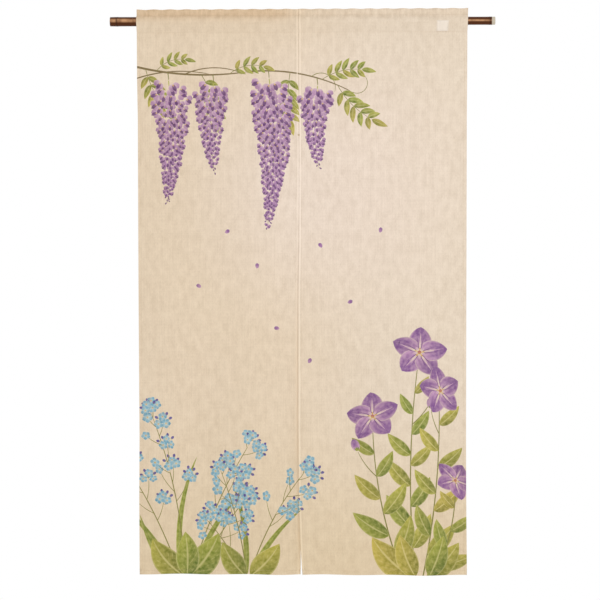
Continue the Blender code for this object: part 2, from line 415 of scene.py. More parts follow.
def new_group(name, inputs, outputs):
    tree = bpy.data.node_groups.new(name, "ShaderNodeTree")
    for title, kind in inputs.items():
        tree.interface.new_socket(title, in_out="INPUT", socket_type=kind)
    for title, kind in outputs.items():
        tree.interface.new_socket(title, in_out="OUTPUT", socket_type=kind)
    return tree, tree.nodes.new("NodeGroupInput").outputs, tree.nodes.new("NodeGroupOutput").inputs


def new_material(name, roughness, specular=0.3):
    made = bpy.data.materials.new(name)
    made.use_nodes = True
    shader = made.node_tree.nodes["Principled BSDF"]
    shader.inputs["Roughness"].default_value = roughness
    shader.inputs["Specular IOR Level"].default_value = specular
    return made, made.node_tree, shader


def bump(tree, shader, height, distance, strength=1.0):
    made = add(tree, "ShaderNodeBump", {"Height": height, "Distance": distance, "Strength": strength})
    tree.links.new(made.outputs[0], shader.inputs["Normal"])


print("materials so far:", len(bpy.data.materials))

# %% [markdown]
# ### Woven thread
# The cloth is a plain weave of hand-spun yarn, so threads cross one over one and their thickness wanders.
# Thick stretches of yarn, called slubs, draw fine streaks, mostly down the cloth.
# A picture of cloth would be easier, but nodes stay sharp at any distance and need no file.

# %% The weave group
FLOAT = "NodeSocketFloat"
COLOUR = "NodeSocketColor"
VECTOR = "NodeSocketVector"


def make_weave_group():
    inputs = {"Cloth": VECTOR, "Threads": FLOAT, "Slubs": FLOAT}
    tree, given, put = new_group("Woven thread", inputs, {"Shade": FLOAT, "Height": FLOAT})
    place = add(tree, "ShaderNodeSeparateXYZ", {0: given["Cloth"]}).outputs
    wander = stretched_noise(tree, given["Cloth"], (140.0, 140.0, 1.0), 1.0)
    half_turns = calc(tree, "MULTIPLY", given["Threads"], math.pi)
    waves = []
    for axis in (0, 1):
        along = calc(tree, "MULTIPLY_ADD", place[axis], half_turns, calc(tree, "MULTIPLY", wander, 5.0))
        waves.append(calc(tree, "SINE", along))
    crossing = calc(tree, "MULTIPLY_ADD", calc(tree, "MULTIPLY", waves[0], waves[1]), 0.5, 0.5)
    warp = calc(tree, "MULTIPLY", calc(tree, "ABSOLUTE", waves[0]), crossing)
    weft = calc(tree, "MULTIPLY", calc(tree, "ABSOLUTE", waves[1]), calc(tree, "SUBTRACT", 1.0, crossing))
    height = calc(tree, "MAXIMUM", warp, weft)
    down = stretched_noise(tree, given["Cloth"], (330.0, 9.0, 1.0), 3.0)
    across = stretched_noise(tree, given["Cloth"], (11.0, 300.0, 1.0), 3.0)
    fleck = stretched_noise(tree, given["Cloth"], (420.0, 150.0, 1.0), 2.0)
    cloud = stretched_noise(tree, given["Cloth"], (7.0, 3.5, 1.0), 3.0)
    blotch = stretched_noise(tree, given["Cloth"], (60.0, 34.0, 1.0), 3.0)
    shade = calc(tree, "MULTIPLY_ADD", calc(tree, "SUBTRACT", blotch, 0.5), 0.22, 1.0)
    for streak, weight in ((down, 0.13), (across, 0.07), (fleck, 0.17)):
        centred = calc(tree, "SUBTRACT", streak, 0.5)
        weighed = calc(tree, "MULTIPLY", centred, weight)
        shade = calc(tree, "MULTIPLY_ADD", weighed, given["Slubs"], shade)
    shade = calc(tree, "MULTIPLY_ADD", calc(tree, "SUBTRACT", cloud, 0.5), 0.06, shade)
    # Painted shade: a little darker where the weave lies deep between the threads.
    shade = calc(tree, "MULTIPLY_ADD", calc(tree, "SUBTRACT", height, 0.45), 0.07, shade)
    feed(tree, put["Shade"], shade)
    raised = calc(tree, "MULTIPLY_ADD", calc(tree, "SUBTRACT", down, 0.5), 0.9, height)
    feed(tree, put["Height"], calc(tree, "MULTIPLY_ADD", calc(tree, "SUBTRACT", across, 0.5), 0.5, raised))
    return tree


WEAVE = make_weave_group()
print("weave group:", len(WEAVE.nodes), "nodes")

# %% [markdown]
# ### Painted dye
# The flowers and leaves are brushed on with dye that soaks into the yarn, so the weave shows through it.
# The shapes are cut into the cloth's mesh later on. Each carries its two dye colours, and a map that runs
# from 0 at its base to 1 at its tip and from 0 to 1 across. The brush marks and veins are drawn from it.

# %% The dye group
PALE_DYE = screen_colour(226, 224, 184)


def make_dye_group():
    inputs = {"Motif": VECTOR, "Cloth": VECTOR, "Dye": COLOUR, "Light": COLOUR, "Leafy": FLOAT}
    tree, given, put = new_group("Brushed dye", inputs, {"Colour": COLOUR, "Thinness": FLOAT})
    place = add(tree, "ShaderNodeSeparateXYZ", {0: given["Motif"]}).outputs
    along = place[0]
    side = calc(tree, "MULTIPLY_ADD", place[1], 2.0, -1.0)
    off_middle = calc(tree, "ABSOLUTE", side)
    brush = stretched_noise(tree, given["Cloth"], (90.0, 90.0, 1.0), 3.0)
    petal = calc(tree, "POWER", calc(tree, "SUBTRACT", 1.0, along), 1.6)
    lines = calc(tree, "SINE", calc(tree, "MULTIPLY", side, 15.0))
    petal = calc(tree, "MULTIPLY_ADD", lines, 0.10, petal)
    petal = calc(tree, "ADD", petal, calc(tree, "MULTIPLY", soft_step(tree, off_middle, 0.5, 1.0), 0.35))
    leaf = calc(tree, "MULTIPLY_ADD", side, 0.24, 0.26)
    leaf = calc(tree, "MULTIPLY_ADD", calc(tree, "POWER", along, 1.5), 0.55, leaf)
    veins = calc(tree, "MULTIPLY_ADD", off_middle, -2.6, calc(tree, "MULTIPLY", along, 7.0))
    veins = calc(tree, "ABSOLUTE", calc(tree, "SUBTRACT", calc(tree, "FRACT", veins), 0.5))
    veins = calc(tree, "SUBTRACT", 1.0, soft_step(tree, veins, 0.02, 0.13))
    midrib = calc(tree, "SUBTRACT", 1.0, soft_step(tree, off_middle, 0.03, 0.12))
    veins = calc(tree, "MULTIPLY", veins, soft_step(tree, brush, 0.35, 0.7))
    veins = calc(tree, "MAXIMUM", calc(tree, "MULTIPLY", veins, 0.5), calc(tree, "MULTIPLY", midrib, 0.8))
    share = mix(tree, given["Leafy"], petal, leaf)
    share = calc(tree, "MULTIPLY_ADD", calc(tree, "SUBTRACT", brush, 0.5), 1.1, share, clamp=True)
    colour = mix(tree, share, given["Dye"], given["Light"])
    paler = mix(tree, 0.5, given["Light"], PALE_DYE)
    colour = mix(tree, calc(tree, "MULTIPLY", veins, given["Leafy"]), colour, paler)
    rim = calc(tree, "MULTIPLY", soft_step(tree, off_middle, 0.84, 0.97), 0.55)
    feed(tree, put["Colour"], mix(tree, rim, colour, paler))
    feed(tree, put["Thinness"], calc(tree, "MULTIPLY", brush, 0.30))
    return tree


DYE = make_dye_group()
print("dye group:", len(DYE.nodes), "nodes")

# %% [markdown]
# ### Hemp
# The ground's tone changes slowly over the curtain as painted light and shade: paler in the middle, lighter
# at the right, darker at the foot, and darker and warmer in the header, most at the left. Beside the slit
# lie a painted highlight and painted light that takes out shade. These tones are worked out from the place
# on the piece; painting them by hand would fix them to one mesh.

# %% The hemp's ground, with painted light and shade
HEMP = screen_colour(222, 204, 180)
# Painted light at the right and in the middle, and painted shade at the foot and in the header:
HEMP_LIT_RIGHT = screen_colour(223, 208, 189)
HEMP_LIT_MIDDLE = screen_colour(228, 212, 197)
HEMP_SHADED_FOOT = screen_colour(217, 198, 168)
HEMP_SHADED_HEADER = screen_colour(214, 189, 158)


def ground_and_painted_light(tree, x, z):
    """Painted light and shade on the ground: paler above the middle, cooler at the right, darker at foot and
    header.
    """
    up = calc(tree, "ADD", z, 0.42)
    aside = calc(tree, "SUBTRACT", x, 0.08)
    away = calc(tree, "MULTIPLY_ADD", aside, aside, calc(tree, "MULTIPLY", up, up))
    middle = calc(tree, "SUBTRACT", 1.0, soft_step(tree, calc(tree, "SQRT", away), 0.05, 0.50))
    foot = calc(tree, "SUBTRACT", 1.0, soft_step(tree, z, -1.48, -0.95))
    upper = mix(tree, soft_step(tree, x, -0.15, 0.30), HEMP, HEMP_LIT_RIGHT)
    ground = mix(tree, foot, mix(tree, middle, upper, HEMP_LIT_MIDDLE), HEMP_SHADED_FOOT)
    header = calc(tree, "MULTIPLY_ADD", soft_step(tree, x, -0.09, 0.03), -0.8, 1.0)
    header = calc(tree, "MULTIPLY", header, soft_step(tree, z, -0.014, 0.022))
    return mix(tree, header, ground, HEMP_SHADED_HEADER)


print("hemp at the left and right:", [round(value, 3) for value in HEMP + HEMP_LIT_RIGHT])

# %% The cloth's edge beside the slit, with painted light
RIM_HIGHLIGHT = 0.17  # painted highlight: how much paler the fold is that stands proud beside the slit
RIM_HIGHLIGHT_SHIFT = 0.0014  # the upper painted highlight on the right lies this much further out
SHADE_LIFT = 0.28  # painted light: how much paler the strip on the lower left is, to take out shade


def slit_edge_light(tree, slit):
    """Painted light beside the slit: a painted highlight on its proud fold, and a wider pale strip that
    takes out shade.

    The slit map gives the distance from the slit, less than 0 on the left panel, and the place along it.
    """
    place = add(tree, "ShaderNodeSeparateXYZ", {0: slit}).outputs
    near = calc(tree, "ABSOLUTE", place[0])
    right = soft_step(tree, place[0], -0.0002, 0.0002)
    upper = soft_step(tree, place[1], -0.70, -0.58)
    reach = calc(tree, "MULTIPLY_ADD", calc(tree, "MULTIPLY", right, upper), -RIM_HIGHLIGHT_SHIFT, near)
    # Painted highlight on the rim of the fold.
    rim = calc(tree, "SUBTRACT", 1.0, soft_step(tree, reach, 0.0034, 0.0056))
    rim = calc(tree, "MULTIPLY", rim, soft_step(tree, reach, 0.0006, 0.0016))
    sewn = calc(tree, "MULTIPLY", soft_step(tree, place[1], -0.18, -0.10), 0.3)
    left = calc(tree, "MULTIPLY_ADD", upper, 0.4, sewn)
    rim = calc(tree, "MULTIPLY", rim, calc(tree, "MAXIMUM", right, left))
    # Painted light: a pale strip beside the slit on the lower left, which takes out the shade there.
    shade_lifted = calc(tree, "SUBTRACT", 1.0, soft_step(tree, near, 0.0030, 0.0120))
    lower = calc(tree, "SUBTRACT", 1.0, soft_step(tree, place[1], -1.00, -0.55))
    shade_lifted = calc(tree, "MULTIPLY", shade_lifted, calc(tree, "MULTIPLY", lower, calc(tree, "SUBTRACT", 1.0, right)))
    return calc(tree, "MULTIPLY_ADD", rim, RIM_HIGHLIGHT, calc(tree, "MULTIPLY", shade_lifted, SHADE_LIFT))


# The rim is a painted highlight, and the strip is painted light that takes out shade.
print("beside the slit the rim and the rubbed strip are paler by", RIM_HIGHLIGHT, "and", SHADE_LIFT)

# %% The pocket's painted shade
POLE_BAND_SHADE = 0.018  # painted shade where the pole shows through, just below the header's stitches
POLE_BAND_SHADE_HEIGHT = 0.011
GATHER_SHADE = 0.30  # painted light and shade: how strongly the gathers show in the header
FRILL_SHADE = 0.07  # and how much painted shade the frill's own folds put on its top edge


def pocket_shade(tree, place, spot, shade):
    """The weave's shade, with painted shade over the pole and in the header's gathers and folds."""
    over_axis = calc(tree, "MULTIPLY_ADD", spot[0], POLE_DROP / POLE_LENGTH, spot[2])
    # Painted shade in a band just above the pole's axis.
    pole_band_shade = calc(tree, "ABSOLUTE", calc(tree, "SUBTRACT", over_axis, POLE_BAND_SHADE_HEIGHT))
    pole_band_shade = calc(tree, "SUBTRACT", 1.0, soft_step(tree, pole_band_shade, 0.003, 0.013))
    shade = calc(tree, "MULTIPLY_ADD", pole_band_shade, -POLE_BAND_SHADE, shade)
    # Painted light and shade in the header's gathers.
    gathers = calc(tree, "SUBTRACT", stretched_noise(tree, place, (95.0, 1.0, 40.0), 3.0), 0.5)
    gathers = calc(tree, "MULTIPLY", gathers, soft_step(tree, spot[2], -0.010, 0.016))
    shade = calc(tree, "MULTIPLY_ADD", gathers, GATHER_SHADE, shade)
    # Painted shade in the frill's folds.
    frill = calc(tree, "SINE", calc(tree, "MULTIPLY_ADD", spot[0], math.tau / RIPPLE_PITCH, 2.2))
    frill = calc(tree, "MULTIPLY_ADD", frill, 0.5, 0.5)
    frill = calc(tree, "MULTIPLY", frill, soft_step(tree, spot[2], 0.0270, 0.0315))
    return calc(tree, "MULTIPLY_ADD", frill, -FRILL_SHADE, shade)


print("the frill's folds repeat every", RIPPLE_PITCH * 1000, "mm")

# %% The hemp
HEMP_THREADS = 800.0  # to a metre
THREAD_GAP_SHADE = screen_colour(228, 220, 210)  # painted shade: what the gaps between the threads take off the colour


def bare_hemp(tree, spot, shade):
    """The unpainted cloth: its ground, deeper and warmer where the weave's shade is low, with painted shade
    in the thread gaps.
    """
    ground = ground_and_painted_light(tree, spot[0], spot[2])
    # Painted shade in the gaps between the threads.
    deep = mix(tree, 1.0, ground, THREAD_GAP_SHADE, "MULTIPLY")
    bare = mix(tree, soft_step(tree, shade, 0.86, 1.12), deep, ground)
    grey = add(tree, "ShaderNodeCombineColor", {0: shade, 1: shade, 2: shade}).outputs[0]
    return mix(tree, 0.5, bare, mix(tree, 1.0, ground, grey, "MULTIPLY"))


def painted_hemp(tree, cloth, bare, dye_depth):
    """The dye laid over the bare cloth, thinner where the brush ran dry."""
    dye = add(tree, "ShaderNodeAttribute", attribute_name="dye").outputs
    light = add(tree, "ShaderNodeAttribute", attribute_name="dye_light").outputs
    values = {
        "Motif": add(tree, "ShaderNodeUVMap", uv_map="motif").outputs[0],
        "Cloth": cloth,
        "Dye": dye["Color"],
        "Light": light["Color"],
        "Leafy": light["Alpha"],
    }
    painted = add(tree, "ShaderNodeGroup", node_tree=DYE)
    for socket, value in values.items():
        feed(tree, painted.inputs[socket], value)
    depth = calc(tree, "SUBTRACT", dye_depth, painted.outputs["Thinness"])
    depth = calc(tree, "MULTIPLY", depth, dye["Alpha"], clamp=True)
    soaked = mix(tree, 1.0, painted.outputs["Colour"], bare, "MULTIPLY")
    return mix(tree, depth, bare, mix(tree, 0.6, painted.outputs["Colour"], soaked))


def make_hemp(name, dye_depth):
    """The dye is deep on the painted face and fainter where it comes through to the back."""
    made, tree, shader = new_material(name, 0.92, 0.15)
    cloth = add(tree, "ShaderNodeUVMap", uv_map="cloth").outputs[0]
    weave = add(tree, "ShaderNodeGroup", node_tree=WEAVE)
    for socket, value in (("Cloth", cloth), ("Threads", HEMP_THREADS), ("Slubs", 1.0)):
        feed(tree, weave.inputs[socket], value)
    place = add(tree, "ShaderNodeTexCoord").outputs["Object"]
    spot = add(tree, "ShaderNodeSeparateXYZ", {0: place}).outputs
    slit = add(tree, "ShaderNodeUVMap", uv_map="slit").outputs[0]
    shade = pocket_shade(tree, place, spot, weave.outputs["Shade"])
    # Painted highlight and painted light beside the slit.
    shade = calc(tree, "ADD", shade, slit_edge_light(tree, slit))
    bare = bare_hemp(tree, spot, shade)
    tree.links.new(painted_hemp(tree, cloth, bare, dye_depth), shader.inputs["Base Color"])
    bump(tree, shader, weave.outputs["Height"], 0.00035, 0.7)
    return made


HEMP_FRONT = make_hemp("hemp_painted_face", 1.05)
HEMP_BACK = make_hemp("hemp_back", 0.62)
print("hemp:", HEMP_FRONT.name, HEMP_BACK.name)

# %% [markdown]
# ### Thread
# The seams are sewn with a pale twisted thread, a little yellower than the cloth.

# %% The sewing thread
THREAD_COLOUR = screen_colour(214, 192, 158)


def make_thread():
    made, tree, shader = new_material("sewing_thread", 0.75, 0.25)
    place = add(tree, "ShaderNodeTexCoord").outputs["Object"]
    twist = add(tree, "ShaderNodeTexWave", {"Vector": place, "Scale": 700.0, "Distortion": 1.0})
    twist.bands_direction = "DIAGONAL"
    darker = tuple(value * 0.72 for value in THREAD_COLOUR)
    tree.links.new(mix(tree, twist.outputs["Fac"], darker, THREAD_COLOUR), shader.inputs["Base Color"])
    bump(tree, shader, twist.outputs["Fac"], 0.00008)
    return made


THREAD = make_thread()
print("thread:", THREAD.name)

# %% [markdown]
# ### Bamboo
# The pole is a smoked bamboo cane with a dark brown skin and a low gloss. A painted highlight runs round it
# as a golden band at its axis's height, streaked and blotched. Fine fibres run along it. The cut ends are
# pale.

# %% The bamboo's skin and its cut end
SMOKED = screen_colour(94, 46, 8)
SMOKED_DARK = screen_colour(52, 24, 5)
GOLDEN_HIGHLIGHT = screen_colour(204, 154, 112)
PALE_CANE = screen_colour(186, 176, 158)
PALE_END = 0.501  # the skin is scraped pale from here to the right end
BAND_HEIGHT_LEFT = 0.0018  # of the painted highlight band's middle, from the cane's axis
BAND_HEIGHT_RIGHT = -0.0002
BAND_HALF_LEFT = 0.0062
BAND_HALF_RIGHT = 0.0036


def along_pole(tree, x, left, right):
    """A value that goes evenly from the pole's left end to its right."""
    return calc(tree, "MULTIPLY_ADD", x, (right - left) / POLE_LENGTH, (left + right) / 2)


def highlight_band(tree, place, spot):
    """How golden the skin is: a painted highlight, a streaky, blotched band that narrows to the right."""
    streaks = stretched_noise(tree, place, (4.0, 160.0, 160.0), 3.0)
    blotches = stretched_noise(tree, place, (55.0, 60.0, 60.0), 3.0)
    off_axis = calc(tree, "MULTIPLY_ADD", spot[0], POLE_DROP / POLE_LENGTH, spot[2])
    middle = along_pole(tree, spot[0], BAND_HEIGHT_LEFT, BAND_HEIGHT_RIGHT)
    off_band = calc(tree, "ABSOLUTE", calc(tree, "SUBTRACT", off_axis, middle))
    off_band = calc(tree, "MULTIPLY_ADD", calc(tree, "SUBTRACT", streaks, 0.5), 0.005, off_band)
    half_band = along_pole(tree, spot[0], BAND_HALF_LEFT, BAND_HALF_RIGHT)
    outside = soft_step(tree, calc(tree, "DIVIDE", off_band, half_band), 0.15, 1.15)
    blotched = calc(tree, "MULTIPLY_ADD", soft_step(tree, blotches, 0.3, 0.6), 0.55, 0.45)
    return calc(tree, "MULTIPLY", calc(tree, "SUBTRACT", 1.0, outside), blotched)


def joint_scars(tree, x):
    """The dark ring that each joint leaves on the skin."""
    clear = 1.0
    for ridge in RIDGE_PLACES:
        apart = calc(tree, "ABSOLUTE", calc(tree, "SUBTRACT", x, ridge))
        clear = calc(tree, "MINIMUM", clear, soft_step(tree, apart, 0.0005, 0.0040))
    return calc(tree, "MULTIPLY", calc(tree, "SUBTRACT", 1.0, clear), 0.6)


def make_cane():
    made, tree, shader = new_material("smoked_bamboo", 0.42, 0.14)
    place = add(tree, "ShaderNodeTexCoord").outputs["Object"]
    spot = add(tree, "ShaderNodeSeparateXYZ", {0: place}).outputs
    fibres = stretched_noise(tree, place, (7.0, 900.0, 900.0), 4.0)
    golden = mix(tree, fibres, tuple(value * 0.7 for value in GOLDEN_HIGHLIGHT), GOLDEN_HIGHLIGHT)
    skin = mix(tree, fibres, SMOKED_DARK, SMOKED)
    # Painted highlight: a golden band round the cane at its axis's height.
    skin = mix(tree, highlight_band(tree, place, spot), skin, golden)
    skin = mix(tree, joint_scars(tree, spot[0]), skin, SMOKED_DARK)
    skin = mix(tree, soft_step(tree, spot[0], PALE_END - 0.001, PALE_END + 0.001), skin, PALE_CANE)
    tree.links.new(skin, shader.inputs["Base Color"])
    tree.links.new(calc(tree, "MULTIPLY_ADD", fibres, 0.25, 0.30), shader.inputs["Roughness"])
    bump(tree, shader, fibres, 0.0002, 0.6)
    return made


def make_cut_end():
    made, tree, shader = new_material("bamboo_cut_end", 0.8, 0.2)
    place = add(tree, "ShaderNodeTexCoord").outputs["Object"]
    pores = add(tree, "ShaderNodeTexVoronoi", {"Vector": place, "Scale": 1400.0}).outputs["Distance"]
    cut = mix(tree, soft_step(tree, pores, 0.1, 0.5), screen_colour(120, 92, 58), PALE_CANE)
    tree.links.new(cut, shader.inputs["Base Color"])
    bump(tree, shader, pores, 0.0002, 0.5)
    return made


CANE = make_cane()
CUT_END = make_cut_end()
print("bamboo:", CANE.name, CUT_END.name)

# %% [markdown]
# ### Label tape
# A small woven label sits on the right panel's pocket. It is left bare.

# %% The label's tape
TAPE = screen_colour(229, 217, 203)
TAPE_THREADS = 2600.0


def make_tape():
    made, tree, shader = new_material("label_tape", 0.8, 0.25)
    cloth = add(tree, "ShaderNodeUVMap", uv_map="cloth").outputs[0]
    weave = add(tree, "ShaderNodeGroup", node_tree=WEAVE)
    for socket, value in (("Cloth", cloth), ("Threads", TAPE_THREADS), ("Slubs", 0.3)):
        feed(tree, weave.inputs[socket], value)
    darker = tuple(value * 0.82 for value in TAPE)
    tone = soft_step(tree, weave.outputs["Shade"], 0.90, 1.05)
    tree.links.new(mix(tree, tone, darker, TAPE), shader.inputs["Base Color"])
    bump(tree, shader, weave.outputs["Height"], 0.00012, 0.6)
    return made


LABEL_TAPE = make_tape()
print("label:", LABEL_TAPE.name)

# %% [markdown]
# ## The pole
# A bamboo cane is nearly round, tapers a little, and has a joint every hand or two: a thin scar where the
# leaf sheath sat, and a swollen ridge above it. Half its outline is drawn once and spun round its axis.
# A cylinder with rings on it would show straight edges; the spun outline flows from joint to joint.


# %% Finish a piece
def finish_piece(name, bm, looks, body="root", sharp=math.radians(40)):
    mesh = bpy.data.meshes.new(name)
    bm.to_mesh(mesh)
    bm.free()
    mesh.shade_smooth()
    if sharp:
        mesh.set_sharp_from_angle(angle=sharp)
    for look in looks:
        mesh.materials.append(look)
    made = bpy.data.objects.new(name, mesh)
    bpy.context.scene.collection.objects.link(made)
    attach(made, body)
    print(name, "has", len(mesh.polygons), "faces")
    return made


# %% The cane
POLE_SIDES = 56
BORE_SHARE = 0.62
BORE_DEPTH = 0.011
END_BEVEL = 0.0008
# A joint's outline: (place along the cane, rise off its skin), in metres
JOINT_OUTLINE = (
    (-0.0100, 0.00000),
    (-0.0050, 0.00012),
    (-0.0028, 0.00034),
    (-0.0018, 0.00040),
    (-0.0011, 0.00002),
    (-0.0006, -0.00008),
    (0.0000, 0.00024),
    (0.0010, 0.00050),
    (0.0022, 0.00040),
    (0.0042, 0.00012),
    (0.0090, 0.00000),
)
UNROUND = 0.00016  # how far the cane is from truly round
SKIN_SHARE = 0.8  # of the radius: what lies further out is skin, and what lies further in is the bore


def cane_outline():
    half = POLE_LENGTH / 2
    outline = [
        (BORE_DEPTH - half, 0.0),
        (BORE_DEPTH - half, pole_radius(-half) * BORE_SHARE),
        (-half, pole_radius(-half) * BORE_SHARE),
        (-half, pole_radius(-half) - END_BEVEL),
        (END_BEVEL - half, pole_radius(-half)),
    ]
    for ridge in RIDGE_PLACES:
        for place, rise in JOINT_OUTLINE:
            x = ridge + place
            if abs(x) < half - END_BEVEL:
                outline.append((x, pole_radius(x) + rise))
    outline += [
        (half - END_BEVEL, pole_radius(half)),
        (half, pole_radius(half) - END_BEVEL),
        (half, pole_radius(half) * BORE_SHARE),
        (half - BORE_DEPTH, pole_radius(half) * BORE_SHARE),
        (half - BORE_DEPTH, 0.0),
    ]
    return outline


print("the cane's outline has", len(cane_outline()), "points")


# %% The spun cane
def spun_cane():
    """The outline, spun once round the cane's axis."""
    bm = bmesh.new()
    corners = [bm.verts.new((x, 0.0, radius)) for x, radius in cane_outline()]
    for near, far in zip(corners, corners[1:]):
        bm.edges.new((near, far))
    bmesh.ops.spin(
        bm,
        geom=bm.verts[:] + bm.edges[:],
        cent=(0, 0, 0),
        axis=(1, 0, 0),
        angle=math.tau,
        steps=POLE_SIDES,
        use_merge=True,
    )
    bmesh.ops.remove_doubles(bm, verts=bm.verts, dist=1e-6)
    bmesh.ops.recalc_face_normals(bm, faces=bm.faces)
    return bm


def make_pole():
    """The cane, a little out of round, with its cut ends in a look of their own, hung as it slopes."""
    bm = spun_cane()
    half = POLE_LENGTH / 2
    for corner in bm.verts:
        radius = math.hypot(corner.co.y, corner.co.z)
        if radius > pole_radius(corner.co.x) * SKIN_SHARE:
            angle = math.atan2(corner.co.y, corner.co.z)
            wobble = math.sin(2 * angle + corner.co.x * 7) + 0.5 * math.sin(3 * angle - corner.co.x * 11)
            grown = 1.0 - UNROUND * (1.0 + wobble) * 0.5 / radius
            corner.co.y *= grown
            corner.co.z *= grown
    for face in bm.faces:
        centre = face.calc_center_median()
        inside = math.hypot(centre.y, centre.z) < pole_radius(centre.x) * SKIN_SHARE
        if inside or abs(centre.x) > half - END_BEVEL * 0.3:
            face.material_index = 1
    for corner in bm.verts:
        corner.co.z += pole_height(corner.co.x)
    return finish_piece("bamboo_pole", bm, (CANE, CUT_END))


pole_piece = make_pole()
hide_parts("pole")

# %% [markdown]
# ## The painting
# The flowers are an invention for this curtain: a spray of wisteria at the top, bellflowers and small blue
# flowers rising from the foot. Each brush shape is a narrow strip along a curved middle line, so that one
# helper draws petals, leaves, stems and dots. The shapes are only listed here, in metres on the hung cloth,
# and the cloth takes them up next. A picture laid over it would blur close by.

# %% Dye colours
LEAF = screen_colour(92, 118, 34)
LEAF_YOUNG = screen_colour(178, 190, 74)
WARM_LEAF = screen_colour(150, 140, 44)
WARM_LEAF_YOUNG = screen_colour(214, 200, 92)
STEM = screen_colour(128, 132, 58)
VINE = screen_colour(122, 108, 68)
VIOLET = screen_colour(128, 82, 158)
LILAC = screen_colour(198, 158, 206)
PALE_LILAC = screen_colour(224, 200, 228)
PLUM = screen_colour(96, 52, 122)
SKY = screen_colour(104, 174, 216)
PALE_SKY = screen_colour(196, 228, 238)
DEEP_BLUE = screen_colour(72, 66, 158)
MID_BLUE = screen_colour(120, 118, 200)
CREAM = screen_colour(240, 232, 204)
OCHRE = screen_colour(206, 162, 74)
ROSE = screen_colour(172, 84, 112)


def blended(first, second, share):
    return tuple(between(first[part], second[part], share) for part in range(3))


half_young = blended(LEAF, LEAF_YOUNG, 0.5)
print("leaf green, half way to its young green:", [round(value, 3) for value in half_young])

# %% Brush shapes
Shape = namedtuple("Shape", "triangles dye light leafy")
SPINED = 0.0080  # half the width of the narrowest strip with a spine
painting = []
brush = random.Random(20)


def trail(start, heading, length, bend, steps):
    """Points along a line that sets off at a heading in degrees and bends evenly on its way."""
    points = [Vector(start)]
    for step in range(steps):
        angle = math.radians(heading + bend * (step + 0.5) / steps)
        points.append(points[-1] + Vector((math.cos(angle), math.sin(angle))) * (length / steps))
    return points


def paint(spine, half_width, base, tip, dye, light, leafy=0.0, placed=None):
    """A strip along a spine. A larger base or tip draws that end out to a longer point; 0 leaves it blunt.

    A strip wide enough to show a middle line has its spine in the mesh as well as its two sides.
    """
    sides = (1.0, 0.0, -1.0) if half_width > SPINED else (1.0, -1.0)
    count = len(spine) - 1
    peak = base / (base + tip) if base + tip else 0.0
    most = peak**base * (1.0 - peak) ** tip
    rows = []
    for index, point in enumerate(spine):
        along = index / count
        ahead = (spine[min(index + 1, count)] - spine[max(index - 1, 0)]).normalized()
        across = Vector((-ahead.y, ahead.x))
        reach = half_width * along**base * (1.0 - along) ** tip / most
        row = []
        for side in sides:
            spot = point + across * (reach * side)
            if placed:
                spot = placed(spot)
            row.append((spot.x, spot.y, along, side * 0.5 + 0.5))
        rows.append(row)
    triangles = []
    for near, far in zip(rows, rows[1:]):
        for side in range(len(sides) - 1):
            triangles.append((near[side], near[side + 1], far[side + 1]))
            triangles.append((near[side], far[side + 1], far[side]))
    painting.append(Shape(triangles, dye, light, leafy))


print("a leaf's middle line ends at", trail((0.0, 0.0), 90.0, 0.1, 20.0, 12)[-1])


# %% Leaves, stems and dots
def varied(colour, amount=0.12):
    """A dye mixed a little lighter or darker, as each brushful is."""
    change = 1.0 + brush.uniform(-amount, amount)
    return tuple(min(value * change, 1.0) for value in colour)


def leaf(start, heading, length, half_width, bend=20.0):
    """Some leaves turn warmer than others, and a few are nearly golden at the tip."""
    warmth = brush.random() ** 2
    dye = varied(blended(LEAF, WARM_LEAF, warmth * 0.6))
    light = varied(blended(LEAF_YOUNG, WARM_LEAF_YOUNG, warmth))
    paint(trail(start, heading, length, bend, 12), half_width, 0.70, 1.0, dye, light, 1.0)


def stem(start, heading, length, bend, half_width=0.0016, dye=STEM, steps=14):
    spine = trail(start, heading, length, bend, steps)
    paint(spine, half_width, 0.0, 0.25, dye, dye)
    return spine


def dot(centre, radius, dye, light):
    start = Vector(centre) - Vector((0.0, radius))
    paint(trail(start, 90.0, radius * 2, 0.0, 4), radius, 0.5, 0.5, dye, light)


def heading_at(spine, index):
    ahead = spine[min(index + 1, len(spine) - 1)] - spine[max(index - 1, 0)]
    return math.degrees(math.atan2(ahead.y, ahead.x))


print("brush shapes so far:", len(painting))

# %% [markdown]
# ### Wisteria
# A wisteria cluster hangs on one axis, with its oldest and broadest flowers at the top and buds at its tip.
# The florets stand in staggered rows and are painted from the tip up, so that the upper ones lie over the
# lower. Scattering them at random would leave holes and heaps.


# %% A wisteria cluster and its leaves
FLORET_AT_TOP = 0.0270
FLORET_AT_TIP = 0.0085
BUD_SIZE = 0.0095  # below this a floret is still a bud and has no banner
SPOTTED_SIZE = 0.0150  # above this a pale spot shows on its banner


def floret(centre, size, heading, share):
    """One pea flower: a pale banner of two lobes behind and a deep keel in front. The last are buds."""
    start = Vector(centre)
    if size > BUD_SIZE:
        pale = varied(blended(PALE_LILAC, LILAC, share))
        for side in (-1, 1):
            lobe = trail(start, heading + side * 44, size * 0.80, -side * 30, 4)
            paint(lobe, size * 0.36, 0.5, 0.45, varied(blended(LILAC, VIOLET, 0.35 + 0.4 * share)), pale)
    keel = trail(start, heading + brush.uniform(-12, 12), size * 0.84, 0.0, 4)
    paint(keel, size * 0.21, 0.7, 0.6, varied(PLUM), varied(VIOLET))
    if size > SPOTTED_SIZE:
        paint(trail(start, heading, size * 0.30, 0.0, 2), size * 0.11, 0.6, 0.6, OCHRE, CREAM)


